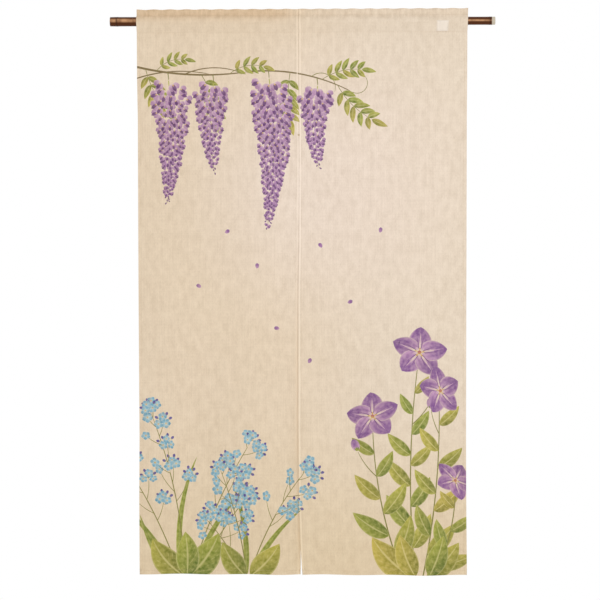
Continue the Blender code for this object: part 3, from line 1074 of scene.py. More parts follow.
def raceme(top, length, half_width, lean):
    """A hanging cluster: florets in staggered rows on an axis, broad at the top and running out to buds."""
    axis = trail(top, -90.0 + lean, length, -lean * 2.2, 40)
    paint(axis, 0.0011, 0.0, 0.3, STEM, LEAF_YOUNG)
    rows = []
    share = 0.03
    while share < 1.0:
        size = between(FLORET_AT_TOP, FLORET_AT_TIP, share**0.75)
        rows.append((share, size))
        share += size * 0.56 / length
    for number in reversed(range(len(rows))):
        share, size = rows[number]
        index = min(int(share * 40), 39)
        middle = axis[index].lerp(axis[index + 1], share * 40 - index)
        spread = half_width * (1.0 - share) ** 0.75 * min(1.0, 0.45 + share * 4.0)
        count = max(round(2.2 * spread / size), 1)
        for place in range(count):
            step = place + 0.25 + 0.5 * (number % 2) + brush.uniform(-0.2, 0.2)
            across = between(-1.0, 1.0, step / count)
            spot = middle + Vector((across * spread, brush.uniform(-0.003, 0.003) + abs(across) * 0.004))
            floret(spot, size * brush.uniform(0.9, 1.1), -90 + across * 62 + brush.uniform(-14, 14), share)


def feathered_leaf(start, heading, length, bend, pairs=5):
    """A leaf of many leaflets in pairs along a thin rib, with one at its tip."""
    rib = stem(start, heading, length, bend, 0.0009, steps=pairs * 2 + 1)
    size = length * 0.36
    for pair in range(pairs):
        index = pair * 2 + 2
        way = heading_at(rib, index)
        scale = 1.0 - 0.45 * abs(pair / (pairs - 1) - 0.4)
        for side in (-1, 1):
            turn = way + side * brush.uniform(50, 64)
            leaf(rib[index], turn, size * scale, size * 0.17, -side * 24)
    leaf(rib[-1], heading_at(rib, len(rib) - 1), size, size * 0.18, bend * 0.3)


print("a cluster's florets shrink from", FLORET_AT_TOP * 1000, "to", FLORET_AT_TIP * 1000, "mm")

# %% The vine across the top
vine = stem((-0.445, -0.118), -14.0, 0.30, 22.0, 0.0030, VINE, 20)
vine_far = stem(vine[-1], 6.0, 0.29, -34.0, 0.0023, VINE, 20)
stem((-0.440, -0.150), 18.0, 0.20, -30.0, 0.0018, VINE)
stem(vine[9], 24.0, 0.17, -50.0, 0.0016, VINE)
stem(vine_far[12], 40.0, 0.10, -150.0, 0.0010)
stem(vine_far[-1], -28.0, 0.09, 190.0, 0.0009)
feathered_leaf(vine[4], 52.0, 0.085, -60.0, 4)
feathered_leaf(vine[2], -76.0, 0.125, 26.0)
feathered_leaf(vine[12], -58.0, 0.120, -24.0)
feathered_leaf(vine[17], 40.0, 0.095, -56.0, 4)
feathered_leaf(vine_far[8], -100.0, 0.125, 20.0)
feathered_leaf(vine_far[14], 34.0, 0.110, -40.0)
feathered_leaf(vine_far[17], -62.0, 0.130, 34.0)
for start, length, half_width, lean in (
    (vine[6], 0.330, 0.050, 7.0),
    (vine[14], 0.240, 0.042, -8.0),
    (vine_far[4], 0.400, 0.054, 8.0),
    (vine_far[13], 0.220, 0.041, -9.0),
):
    stalk = stem(start, -80.0, 0.022, -10.0, 0.0013, steps=4)
    raceme(stalk[-1], length, half_width, lean)
print("brush shapes so far:", len(painting))

# %% Petals that drift down from the clusters
for x, z, turn in (
    (-0.205, -0.560, 20.0),
    (-0.120, -0.655, 75.0),
    (-0.268, -0.705, 140.0),
    (0.052, -0.600, 110.0),
    (0.120, -0.745, 10.0),
    (-0.060, -0.815, 155.0),
    (0.016, -0.905, 48.0),
    (0.205, -0.560, 62.0),
):
    paint(trail((x, z), turn, 0.0150, 26.0, 5), 0.0052, 0.6, 0.5, varied(VIOLET), varied(LILAC))
print("brush shapes so far:", len(painting))

# %% [markdown]
# ### Bellflowers
# A bellflower opens into a star of five points. Each is drawn flat and then squashed along the way it faces,
# which is how a painter shows a flower that is turned aside. Its petals overlap, and the last is on top.


# %% A bellflower, its bud and its stem
PETALS = 5
PETAL_TURN = 360.0 / PETALS  # degrees from one petal to the next


def tilted(centre, facing, squash):
    """A placing for a flower seen at a tilt: squashed along the way it faces."""
    angle = math.radians(facing)
    way = Vector((math.cos(angle), math.sin(angle)))
    middle = Vector(centre)

    def placed(spot):
        return middle + spot - way * (spot.dot(way) * (1.0 - squash))

    return placed


def bellflower(centre, size, turn, facing=90.0, squash=1.0):
    """Five broad pointed petals that overlap into a star, striped, round a style of five arms."""
    placed = tilted(centre, facing, squash)
    for petal in range(PETALS):
        way = turn + petal * PETAL_TURN
        spine = trail((0.0, 0.0), way, size, brush.uniform(-6, 6), 10)
        paint(spine, size * 0.40, 0.62, 0.78, varied(VIOLET), varied(LILAC), 0.0, placed)
    for petal in range(PETALS):
        way = turn + petal * PETAL_TURN
        stripe = trail((0.0, 0.0), way, size * 0.80, 0.0, 6)
        paint(stripe, size * 0.034, 0.4, 1.0, LILAC, CREAM, 0.0, placed)
        for side in (-15.0, 15.0):
            vein = trail((0.0, 0.0), way + side, size * 0.62, -side * 0.7, 5)
            paint(vein, size * 0.014, 0.3, 0.8, PLUM, VIOLET, 0.0, placed)
    for arm in range(PETALS):
        way = turn + PETAL_TURN / 2 + arm * PETAL_TURN
        arm_line = trail((0.0, 0.0), way, size * 0.26, 0.0, 4)
        paint(arm_line, size * 0.050, 0.5, 0.6, LILAC, CREAM, 0.0, placed)
    for arm in range(PETALS):
        way = turn + arm * PETAL_TURN
        arm_line = trail((0.0, 0.0), way, size * 0.20, 0.0, 3)
        paint(arm_line, size * 0.034, 0.4, 0.4, OCHRE, CREAM, 0.0, placed)
    dot(centre, size * 0.07, ROSE, OCHRE)


def bell_bud(start, heading, size):
    """A closed bud, puffed up like a paper balloon, on a green cup."""
    for side in (-0.45, 0.45, 0.0):
        spine = trail(start, heading + side * 34, size, -side * 60, 6)
        paint(spine, size * 0.26, 0.6, 0.7, varied(VIOLET), varied(LILAC))
    for side in (-32.0, 0.0, 32.0):
        paint(trail(start, heading + side, size * 0.34, 0.0, 4), size * 0.07, 0.5, 0.7, LEAF, LEAF_YOUNG)


def leafy_stem(start, heading, length, bend, leaves, size, first=3):
    spine = stem(start, heading, length, bend, 0.0019, steps=22)
    for number in range(leaves):
        index = first + round(number * (20 - first) / leaves)
        way = heading_at(spine, index)
        side = 1 if number % 2 else -1
        scale = between(1.0, 0.55, number / leaves) * brush.uniform(0.9, 1.1)
        turn = way + side * brush.uniform(42, 62)
        leaf(spine[index], turn, size * scale, size * scale * 0.20, -side * 22)
    return spine


print("petals stand", PETAL_TURN, "degrees apart")

# %% The bellflowers at the lower right
tall = leafy_stem((0.300, -1.475), 96.0, 0.600, -14.0, 9, 0.105)
side_stem = leafy_stem((0.318, -1.475), 78.0, 0.500, 14.0, 7, 0.110)
low_stem = leafy_stem((0.270, -1.475), 112.0, 0.440, -22.0, 6, 0.115)
short_stem = leafy_stem((0.345, -1.475), 62.0, 0.270, 30.0, 4, 0.095)
twig = stem(tall[15], 40.0, 0.110, 30.0, 0.0013)
bell_bud(twig[-1], 66.0, 0.040)
twig = stem(low_stem[14], 140.0, 0.085, -26.0, 0.0013)
bell_bud(twig[-1], 112.0, 0.034)
twig = stem(side_stem[17], 118.0, 0.070, -20.0, 0.0012)
bell_bud(twig[-1], 96.0, 0.030)
bellflower(tall[-1], 0.076, 84.0, 70.0, 0.88)
bellflower(side_stem[-1] + Vector((0.004, 0.0)), 0.068, 100.0, 20.0, 0.78)
bellflower(low_stem[-1], 0.074, 96.0, 120.0, 0.84)
bellflower(short_stem[-1], 0.062, 60.0, 50.0, 0.70)
for start, way, size, bend in (
    ((0.290, -1.470), 150.0, 0.150, -30.0),
    ((0.330, -1.470), 34.0, 0.125, 26.0),
    ((0.300, -1.470), 122.0, 0.120, -24.0),
    ((0.335, -1.468), 60.0, 0.115, 20.0),
):
    leaf(start, way, size, size * 0.24, bend)
print("brush shapes so far:", len(painting))

# %% [markdown]
# ### Small blue flowers
# Thin arching stems carry small flowers of five petals and clusters of buds. A stem is a line that bends
# evenly, and a twig grows from it at every few points, so that one function draws all the sprays.


# %% A spray of small blue flowers
def blue_flower(centre, size, turn, squash=1.0):
    placed = tilted(centre, turn * 2.0, squash)
    for petal in range(PETALS):
        way = turn + petal * PETAL_TURN
        petal_line = trail((0.0, 0.0), way, size, 0.0, 4)
        paint(petal_line, size * 0.42, 0.6, 0.35, varied(SKY), varied(PALE_SKY), 0.0, placed)
    dot(centre, size * 0.20, OCHRE, CREAM)


def blue_bud(start, heading):
    paint(trail(start, heading, 0.0120, 0.0, 4), 0.0037, 0.7, 0.6, varied(DEEP_BLUE), varied(MID_BLUE))
    paint(trail(start, heading, 0.0045, 0.0, 2), 0.0016, 0.3, 0.3, LEAF, LEAF_YOUNG)


def blue_cluster(tip, heading):
    """Buds at a twig's end, each on its own thread of stalk, with open flowers below them."""
    for way in (-56, -18, 22, 60):
        stalk = stem(tip, heading + way, brush.uniform(0.010, 0.018), 0.0, 0.0005, steps=2)
        blue_bud(stalk[-1], heading + way)
    for way in (-100, 5, 105):
        angle = math.radians(heading + way + brush.uniform(-16, 16))
        spot = tip + Vector((math.cos(angle), math.sin(angle))) * brush.uniform(0.008, 0.015)
        size = brush.uniform(0.0115, 0.0140)
        blue_flower(spot, size, brush.uniform(0, PETAL_TURN), brush.uniform(0.75, 1.0))


def blue_spray(start, heading, length, bend, flowers):
    """A thin arching stem with side twigs, each ending in a cluster."""
    spine = stem(start, heading, length, bend, 0.0015, steps=18)
    for number in range(flowers):
        index = 8 + round(number * 10 / flowers)
        side = 1 if number % 2 else -1
        way = heading_at(spine, index) + side * brush.uniform(24, 58)
        reach = between(0.070, 0.032, number / flowers) * brush.uniform(0.8, 1.15)
        twig = stem(spine[index], way, reach, -side * 24, 0.0009, steps=5)
        if number % 2:
            size = brush.uniform(0.0125, 0.0155)
            blue_flower(twig[-1], size, brush.uniform(0, PETAL_TURN), brush.uniform(0.7, 1.0))
        else:
            blue_cluster(twig[-1], heading_at(twig, 5))
    blue_cluster(spine[-1], heading_at(spine, 18))


print("brush shapes so far:", len(painting))

# %% The sprays, blades and leaves at the lower left
for start, way, length, bend in (
    (-0.318, 100.0, 0.330, -34.0),
    (-0.330, 118.0, 0.270, 20.0),
    (-0.290, 74.0, 0.300, -30.0),
    (-0.345, 128.0, 0.190, -22.0),
    (-0.150, 84.0, 0.260, 28.0),
    (-0.138, 68.0, 0.230, -30.0),
):
    blade = trail((start, -1.475), way, length, bend, 16)
    paint(blade, 0.0075, 0.25, 0.7, varied(LEAF), varied(LEAF_YOUNG), 0.5)
blue_spray((-0.310, -1.475), 92.0, 0.460, 20.0, 9)
blue_spray((-0.322, -1.475), 108.0, 0.370, 18.0, 7)
blue_spray((-0.296, -1.475), 74.0, 0.400, -16.0, 8)
blue_spray((-0.285, -1.475), 62.0, 0.270, -10.0, 6)
blue_spray((-0.146, -1.475), 96.0, 0.300, 16.0, 7)
blue_spray((-0.140, -1.475), 74.0, 0.330, -24.0, 8)
blue_spray((-0.150, -1.475), 116.0, 0.190, 16.0, 5)
for start, way, size, bend in (
    ((-0.316, -1.470), 146.0, 0.130, -34.0),
    ((-0.300, -1.470), 40.0, 0.140, 30.0),
    ((-0.306, -1.472), 84.0, 0.120, 16.0),
    ((-0.150, -1.470), 138.0, 0.110, -28.0),
    ((-0.138, -1.470), 34.0, 0.118, 28.0),
):
    leaf(start, way, size, size * 0.26, bend)
print("brush shapes so far:", len(painting))

# %% [markdown]
# ## The cloth
# First the flat piece. Its lower part is one big face cut by the painted shapes: a constrained Delaunay
# triangulation keeps every brush outline as a real edge, so a petal's rim is as sharp as its points.
# A fine even grid that stores colours would need twenty times the faces for the same rim.
# Its upper part, the pocket and header, is a plain grid fine enough for the gathers. Then the edges are
# extruded for the hems, and every point is moved to where it hangs. Solidify gives the cloth its thickness.

# %% Where the mesh has its lines
PATCH_TOP = -0.066
STATION_PITCH = 0.0030
EDGE_STATIONS = (0.0012, 0.0024, 0.0038, 0.0054, 0.0072, 0.0094)
LOOSE_PITCH = 0.0095
HEM_LINES = (0.0002, 0.0004, 0.0030, 0.0060)


def steps(start, end, pitch):
    count = max(round(abs(end - start) / pitch), 1)
    return [between(start, end, step / count) for step in range(count + 1)]


def station_places(width):
    inner = steps(EDGE_STATIONS[-1], width - EDGE_STATIONS[-1], STATION_PITCH)
    far = [width - place for place in reversed(EDGE_STATIONS[:-1])]
    return [0.0, *EDGE_STATIONS[:-1], *inner, *far, width]


def upper_rows():
    """Places along the cloth from the painted part's top, over the header, to the turned-in edge."""
    front = [POCKET_FOOT]
    for run, pitch in (
        (FOOT_RUN, 0.0035),
        (ROUND_RUN, 0.0026),
        (SHOULDER_RUN, 0.0030),
        (HEADER_RUN, 0.0022),
        (FOLD_OVER_RUN, 0.0005),
    ):
        front += steps(front[-1], front[-1] + run, pitch)[1:]
    top = front[-1]
    back = [2 * top - place for place in reversed(front[:-1])]
    lower = steps(PATCH_TOP, POCKET_FOOT, 0.0030)[:-1]
    return lower + front + back + steps(back[-1], CLOTH_END, 0.0022)[1:]


ROWS = upper_rows()
print("rows above the painted part:", len(ROWS))


# %% The painted part, flat
def panel_paint(panel, width):
    """The painting in this panel's flat measure: each shape's number and its triangles.

    The triangles run counter-clockwise, as `holds` asks.
    """
    found = []
    for number, shape in enumerate(painting):
        moved = []
        for triangle in shape.triangles:
            corners = []
            for x, z, along, side in triangle:
                left, right = panel_edges(panel, z)
                corners.append((round(width * (x - left) / (right - left), 7), round(z, 7), along, side))
            area = twice_area(*corners)
            if abs(area) > 1e-9:
                moved.append(corners if area > 0.0 else corners[::-1])
        places = [corner[0] for corners in moved for corner in corners]
        if min(places) < width and max(places) > 0.0:
            found.append((number, moved))
    return found


def twice_area(a, b, c):
    return (b[0] - a[0]) * (c[1] - a[1]) - (c[0] - a[0]) * (b[1] - a[1])


left_shapes = panel_paint("left_panel", panel_width("left_panel"))
print("shapes that reach the left panel:", len(left_shapes), "of", len(painting))


# %% Points along the border and inside it
def border_points(width):
    stations = station_places(width)
    side = [SHEET_FOOT, *steps(SHEET_FOOT + FOOT_HEM, PATCH_TOP, 0.0070)]
    border = [(place, SHEET_FOOT) for place in steps(0.0, width, 0.0060)]
    border += [(width, height) for height in side[1:]]
    border += [(place, PATCH_TOP) for place in reversed(stations[:-1])]
    border += [(0.0, height) for height in reversed(side[1:-1])]
    return border


def loose_points(panel, width):
    """Points inside the border, staggered like bricks, and closer beside the sewn seam."""
    points = []
    margin = LOOSE_PITCH * 0.45
    for row, height in enumerate(steps(SHEET_FOOT + margin, PATCH_TOP - margin, LOOSE_PITCH * 0.87)):
        shift = margin + (row % 2) * LOOSE_PITCH / 2
        for place in steps(shift, width - LOOSE_PITCH - margin + shift, LOOSE_PITCH):
            points.append((place, height))
    for height in steps(SEWN_FOOT - SEAM_FADE, PATCH_TOP - 0.003, 0.0060):
        for away in EDGE_STATIONS[:-1]:
            points.append((width - away if panel == "left_panel" else away, height))
    return points


print("points on the left panel's border:", len(border_points(panel_width("left_panel"))))

# %% Which brush shape shows at a point
CELL = 0.004  # the side of a square that brush triangles are looked up by


def holds(corners, x, y):
    """Whether a counter-clockwise triangle has a point inside it."""
    (ax, ay, *_), (bx, by, *_), (cx, cy, *_) = corners
    if (bx - ax) * (y - ay) < (x - ax) * (by - ay):
        return False
    if (cx - bx) * (y - by) < (x - bx) * (cy - by):
        return False
    return (ax - cx) * (y - cy) >= (x - cx) * (ay - cy)


def shelve(brushed):
    """The brush triangles, sorted into squares so that the ones near a point are quick to find."""
    shelves = {}
    for number, triangles in brushed:
        for corners in triangles:
            across = [corner[0] for corner in corners]
            up = [corner[1] for corner in corners]
            for column in range(math.floor(min(across) / CELL), math.floor(max(across) / CELL) + 1):
                for row in range(math.floor(min(up) / CELL), math.floor(max(up) / CELL) + 1):
                    shelves.setdefault((column, row), []).append((number, corners))
    return shelves


def showing(shelves, x, y, over=-1):
    """The brush triangle that shows at a point, if its shape was painted after the one numbered over."""
    for entry in reversed(shelves.get((math.floor(x / CELL), math.floor(y / CELL)), ())):
        if entry[0] <= over:
            return None
        if holds(entry[1], x, y):
            return entry
    return None


def painted_over(shelves, number, start, end):
    """Whether a shape's line is hidden from end to end, so that the cloth needn't be cut along it."""
    for share in (0.5, 0.02, 0.98):
        x, y = (between(start[axis], end[axis], share) for axis in (0, 1))
        if not showing(shelves, x, y, number):
            return False
    return True


print("squares with paint on the left panel:", len(shelve(left_shapes)))

# %% Cutting the cloth along the brush shapes
SMALL = 0.030  # shapes up to this size are cut along their outline only


def lines_of(triangles):
    """The lines a shape is cut along: all of a large one's, but only the outline of a small one's."""
    lines = Counter()
    for corners in triangles:
        for index in range(3):
            lines[tuple(sorted((corners[index - 1][:2], corners[index][:2])))] += 1
    size = 0.0
    for axis in (0, 1):
        places = [end[axis] for line in lines for end in line]
        size = max(size, max(places) - min(places))
    return [line for line, uses in lines.items() if uses == 1 or size > SMALL]


def cut_patch(panel, width):
    """The painted part as triangles: their corners, and the shape and brush map each one carries."""
    border = border_points(width)
    brushed = panel_paint(panel, width)
    shelves = shelve(brushed)
    points = border + [point for point in loose_points(panel, width) if not showing(shelves, *point)]
    edges = {(index - 1, index) for index in range(1, len(border))} | {(0, len(border) - 1)}
    known = {}
    for number, triangles in brushed:
        for line in lines_of(triangles):
            if painted_over(shelves, number, *line):
                continue
            for place in line:
                if place not in known:
                    known[place] = len(points)
                    points.append(place)
            edges.add((known[line[0]], known[line[1]]))
    points = [Vector(point) for point in points]
    places, _, faces, *_ = delaunay_2d_cdt(points, sorted(edges), [], 0, 1e-5, False)
    kept = []
    for face in faces:
        centre = sum((places[index] for index in face), Vector((0.0, 0.0))) / 3
        if 0.0 < centre.x < width and SHEET_FOOT < centre.y < PATCH_TOP:
            kept.append((face, showing(shelves, centre.x, centre.y)))
    return places, kept


def brush_map(corners, point):
    """A brush triangle's map at a point inside it."""
    whole = twice_area(*corners)
    shares = []
    for index in range(3):
        shares.append(twice_area(point, corners[(index + 1) % 3], corners[(index + 2) % 3]) / whole)
    values = []
    for part in (2, 3):
        value = sum(share * corner[part] for share, corner in zip(shares, corners))
        values.append(min(max(value, 0.0), 1.0))
    return values


print("lines in the left panel's first shape:", len(lines_of(left_shapes[0][1])))

# %% The flat cloth: its pocket and its painted part
BARE_CLOTH = (1.0, 1.0, 1.0, 0.0)  # a dye whose last value, its depth, is 0
TOUCHING = 1e-6


def lay_pocket(bm, width):
    """The pocket and header, as a grid."""
    stations = station_places(width)
    bmesh.ops.create_grid(bm, x_segments=len(stations) - 1, y_segments=len(ROWS) - 1, size=0.5)
    for corner in bm.verts:
        place = round((corner.co.x + 0.5) * (len(stations) - 1))
        row = round((corner.co.y + 0.5) * (len(ROWS) - 1))
        corner.co = (stations[place], ROWS[row], 0.0)


def lay_painted_part(bm, panel, width):
    """The painted part below the pocket, whose faces carry their shape's dyes and brush map."""
    motif_map = bm.loops.layers.uv["motif"]
    dye_layer = bm.loops.layers.float_color["dye"]
    light_layer = bm.loops.layers.float_color["dye_light"]
    places, faces = cut_patch(panel, width)
    corners = [bm.verts.new((place.x, place.y, 0.0)) for place in places]
    carried = {}
    for face, owner in faces:
        made = bm.faces.new([corners[index] for index in face])
        if owner:
            carried[made] = owner
    for loose in [corner for corner in bm.verts if not corner.link_faces]:
        bm.verts.remove(loose)
    for face, (number, brushed) in carried.items():
        shape = painting[number]
        for loop in face.loops:
            loop[motif_map].uv = brush_map(brushed, loop.vert.co)
            loop[dye_layer] = (*shape.dye, 1.0)
            loop[light_layer] = (*shape.light, shape.leafy)
    painted = set(carried)
    for face in bm.faces:
        if face not in painted:
            for loop in face.loops:
                loop[dye_layer] = BARE_CLOTH
                loop[light_layer] = BARE_CLOTH
    meeting_row = [corner for corner in bm.verts if abs(corner.co.y - PATCH_TOP) < TOUCHING]
    bmesh.ops.remove_doubles(bm, verts=meeting_row, dist=1e-5)


print("the painted part ends at", PATCH_TOP, "and the pocket's grid goes on from there")


# %% The hems, extruded from the borders
def extrude_lines(bm, edges, way, lines):
    """Extrudes a row of edges again and again, to each distance from where it starts."""
    before = 0.0
    for line in lines:
        grown = bmesh.ops.extrude_edge_only(bm, edges=edges)["geom"]
        corners = {item for item in grown if isinstance(item, bmesh.types.BMVert)}
        edges = [item for item in grown if isinstance(item, bmesh.types.BMEdge)]
        edges = [edge for edge in edges if corners.issuperset(edge.verts)]
        bmesh.ops.translate(bm, verts=list(corners), vec=way * (line - before))
        before = line


def lay_hems(bm, width):
    side_foot = SHEET_FOOT + FOOT_HEM - TOUCHING
    side_end = CLOTH_END - TURN_IN + TOUCHING
    for edge_place, way in ((0.0, -1.0), (width, 1.0)):
        border = [
            edge
            for edge in bm.edges
            if edge.is_boundary
            and all(abs(corner.co.x - edge_place) < TOUCHING for corner in edge.verts)
            and all(side_foot <= corner.co.y <= side_end for corner in edge.verts)
        ]
        extrude_lines(bm, border, Vector((way, 0.0, 0.0)), (*HEM_LINES, SIDE_HEM))
    border = [
        edge
        for edge in bm.edges
        if edge.is_boundary and all(abs(corner.co.y - SHEET_FOOT) < TOUCHING for corner in edge.verts)
    ]
    extrude_lines(bm, border, Vector((0.0, -1.0, 0.0)), (*HEM_LINES, FOOT_HEM))


print("side hems:", SIDE_HEM * 1000, "mm, foot hem:", FOOT_HEM * 1000, "mm")


# %% The whole cloth, cut flat and then hung
def map_cloth(bm, panel, width):
    """Keeps each point's flat place, and its distance from the slit, for the materials."""
    cloth_map = bm.loops.layers.uv["cloth"]
    slit_map = bm.loops.layers.uv["slit"]
    dye_layer = bm.loops.layers.float_color["dye"]
    for face in bm.faces:
        centre = face.calc_center_median()
        beyond = not (0.0 < centre.x < width) or centre.y < SHEET_FOOT
        for loop in face.loops:
            across, up = loop.vert.co.xy
            loop[cloth_map].uv = (across, up)
            loop[slit_map].uv = (across - width if panel == "left_panel" else across, up)
            if beyond:
                loop[dye_layer] = BARE_CLOTH


def make_panel(panel):
    width = panel_width(panel)
    bm = bmesh.new()
    for title in ("cloth", "motif", "slit"):
        bm.loops.layers.uv.new(title)
    for title in ("dye", "dye_light"):
        bm.loops.layers.float_color.new(title)
    lay_pocket(bm, width)
    lay_painted_part(bm, panel, width)
    lay_hems(bm, width)
    map_cloth(bm, panel, width)
    bmesh.ops.recalc_face_normals(bm, faces=bm.faces)
    bm.normal_update()
    if sum(face.normal.z for face in bm.faces) < 0.0:
        bmesh.ops.reverse_faces(bm, faces=bm.faces)
    for corner in bm.verts:
        corner.co = cloth_point(panel, corner.co.x, corner.co.y)
    made = finish_piece(f"{panel}_cloth", bm, (HEMP_FRONT, HEMP_BACK), sharp=math.radians(65))
    thick = made.modifiers.new("cloth thickness", "SOLIDIFY")
    thick.thickness = WOVEN
    thick.offset = 0.0
    thick.material_offset = 1
    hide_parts(panel)
    return made


panels = {panel: make_panel(panel) for panel in PANELS}

# %% [markdown]
# ## Stitches
# The pocket, the header and the hems are machine sewn, and the two panels are joined edge to edge.
# One stitch is a tiny spindle. It is modelled once and copied along each line, on both faces of the cloth.

# %% Sewing
STITCH_PITCH = 0.0034
STITCH_LENGTH = 0.0025
THREAD_RADIUS = 0.00026


def one_stitch():
    bm = bmesh.new()
    bmesh.ops.create_uvsphere(bm, u_segments=5, v_segments=3, radius=1.0)
    corners = [corner.co.copy() for corner in bm.verts]
    faces = [[corner.index for corner in face.verts] for face in bm.faces]
    bm.free()
    return corners, faces


STITCH_CORNERS, STITCH_FACES = one_stitch()


def sew(name, ends):
    """A piece of many stitches, one for each pair of ends."""
    corners = []
    faces = []
    for start, end in ends:
        along = end - start
        turned = along.to_track_quat("Z", "Y").to_matrix().to_4x4()
        scale = Matrix.Diagonal((THREAD_RADIUS, THREAD_RADIUS, along.length / 2, 1.0))
        place = Matrix.Translation((start + end) / 2) @ turned @ scale
        first = len(corners)
        corners += [place @ corner for corner in STITCH_CORNERS]
        faces += [[first + index for index in face] for face in STITCH_FACES]
    mesh = bpy.data.meshes.new(name)
    mesh.from_pydata(corners, [], faces)
    mesh.shade_smooth()
    mesh.materials.append(THREAD)
    made = bpy.data.objects.new(name, mesh)
    bpy.context.scene.collection.objects.link(made)
    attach(made, "root")
    print(name, "has", len(ends), "stitches")
    return made


def stitch_line(panel, start, end, lift):
    """Stitch ends along a line between two flat places, on the face that lift points to."""
    line = Vector(end) - Vector(start)
    count = max(round(line.length / STITCH_PITCH), 1)
    half = line.normalized() * (STITCH_LENGTH / 2)
    ends = []
    for number in range(count):
        middle = Vector(start).lerp(Vector(end), (number + 0.5) / count)
        pair = [cloth_point(panel, *(middle + away), lift) for away in (-half, half)]
        ends.append(pair)
    return ends


ON_FACE = WOVEN / 2 + 0.00008
BEHIND_HEM = -(FLAP + ON_FACE)
print("one stitch:", len(STITCH_FACES), "faces")

# %% The pocket's and header's stitches
HEADER_LINE = POCKET_FOOT + POCKET_RUN
FOOT_LINE = POCKET_FOOT - 0.0012
MIRROR = 2 * (POCKET_FOOT + TOP_RUN)
stitches = {}
for panel in PANELS:
    width = panel_width(panel)
    ends = []
    for line in (HEADER_LINE, MIRROR - HEADER_LINE, FOOT_LINE, MIRROR - FOOT_LINE):
        ends += stitch_line(panel, (0.0012, line), (width - 0.0012, line), ON_FACE)
    stitches[panel] = [sew(f"{panel}_pocket_stitches", ends)]

# %% The hems' stitches
HEM_STITCH = 0.0074
FOOT_STITCH = 0.0104
for panel in PANELS:
    width = panel_width(panel)
    ends = []
    for place in (HEM_STITCH, width - HEM_STITCH):
        for lift in (ON_FACE, BEHIND_HEM):
            ends += stitch_line(panel, (place, SHEET_FOOT + FOOT_HEM), (place, FOOT_LINE - 0.002), lift)
    for lift in (ON_FACE, BEHIND_HEM):
        line = SHEET_FOOT + FOOT_STITCH
        ends += stitch_line(panel, (0.002, line), (width - 0.002, line), lift)
    stitches[panel].append(sew(f"{panel}_hem_stitches", ends))

# %% [markdown]
# The panels' edges are drawn together by small stitches that cross from one to the other, and a bar of
# close stitches guards the top of the slit, where each passer-by pulls at it.

# %% The seam between the panels
SEAM_PITCH = 0.0042
SEAM_REACH = 0.0011
BAR_STITCHES = 7
BAR_PITCH = 0.0006
BAR_REACH = 0.0030


def crossing(height, reach, slant, lift):
    left_width = panel_width("left_panel")
    start = cloth_point("left_panel", left_width - reach, height - slant, lift)
    return start, cloth_point("right_panel", reach, height + slant, lift)


ends = []
for height in steps(SEWN_FOOT + 0.004, HEADER_LINE, SEAM_PITCH):
    ends.append(crossing(height, SEAM_REACH, SEAM_PITCH * 0.2, WOVEN / 2))
for number in range(BAR_STITCHES):
    ends.append(crossing(SEWN_FOOT + number * BAR_PITCH, BAR_REACH, 0.0, ON_FACE))
stitches["left_panel"].append(sew("seam_stitches", ends))

# %% [markdown]
# ## The label
# A short piece of pale tape, its two ends folded under, is sewn flat on the right panel's pocket.
# It is laid on the cloth through `cloth_point`, so it follows the pocket round the pole.

# %% The label
LABEL_LEFT = 0.3560
LABEL_WIDTH = 0.0310
LABEL_LOW = POCKET_FOOT + 0.03 * FOOT_RUN
LABEL_HIGH = POCKET_FOOT + FOOT_RUN + 0.0060
LABEL_LIFT = 0.00100
LABEL_UNDER_LIFT = 0.00055
LABEL_THICKNESS = 0.0004
LABEL_TUCK = 0.0050
LABEL_TURN = 0.0006  # the run of tape that goes round the fold at each end
LABEL_COLUMNS = 18
LABEL_ROWS = 16


def label_u(x):
    left, right = panel_edges("right_panel", 0.0)
    return (x - left) / (right - left) * panel_width("right_panel")


def label_point(across, height):
    """A point of the tape: past its two ends it turns under and runs back."""
    beyond = max(-across, across - LABEL_WIDTH, 0.0)
    under = eased(beyond / LABEL_TURN)
    inner = max(beyond - LABEL_TURN, 0.0)
    if across < 0.0:
        across = inner
    elif across > LABEL_WIDTH:
        across = LABEL_WIDTH - inner
    lift = between(LABEL_LIFT, LABEL_UNDER_LIFT, under)
    return cloth_point("right_panel", label_u(LABEL_LEFT) + across, height, lift)


def make_label():
    bm = bmesh.new()
    cloth_map = bm.loops.layers.uv.new("cloth")
    folded = [-LABEL_TUCK, -LABEL_TUCK / 2, -LABEL_TURN, -LABEL_TURN / 2]
    columns = folded + steps(0.0, LABEL_WIDTH, LABEL_WIDTH / LABEL_COLUMNS)
    columns += [LABEL_WIDTH - place for place in reversed(folded)]
    bmesh.ops.create_grid(bm, x_segments=len(columns) - 1, y_segments=LABEL_ROWS, size=0.5)
    for corner in bm.verts:
        column = round((corner.co.x + 0.5) * (len(columns) - 1))
        corner.co = (columns[column], between(LABEL_LOW, LABEL_HIGH, corner.co.y + 0.5), 0.0)
    for face in bm.faces:
        for loop in face.loops:
            loop[cloth_map].uv = loop.vert.co.xy
    for corner in bm.verts:
        corner.co = label_point(corner.co.x, corner.co.y)
    made = finish_piece("label_tape", bm, (LABEL_TAPE,), sharp=math.radians(65))
    thick = made.modifiers.new("tape thickness", "SOLIDIFY")
    thick.thickness = LABEL_THICKNESS
    thick.offset = 0.0
    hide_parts("label")
    return made


label_piece = make_label()

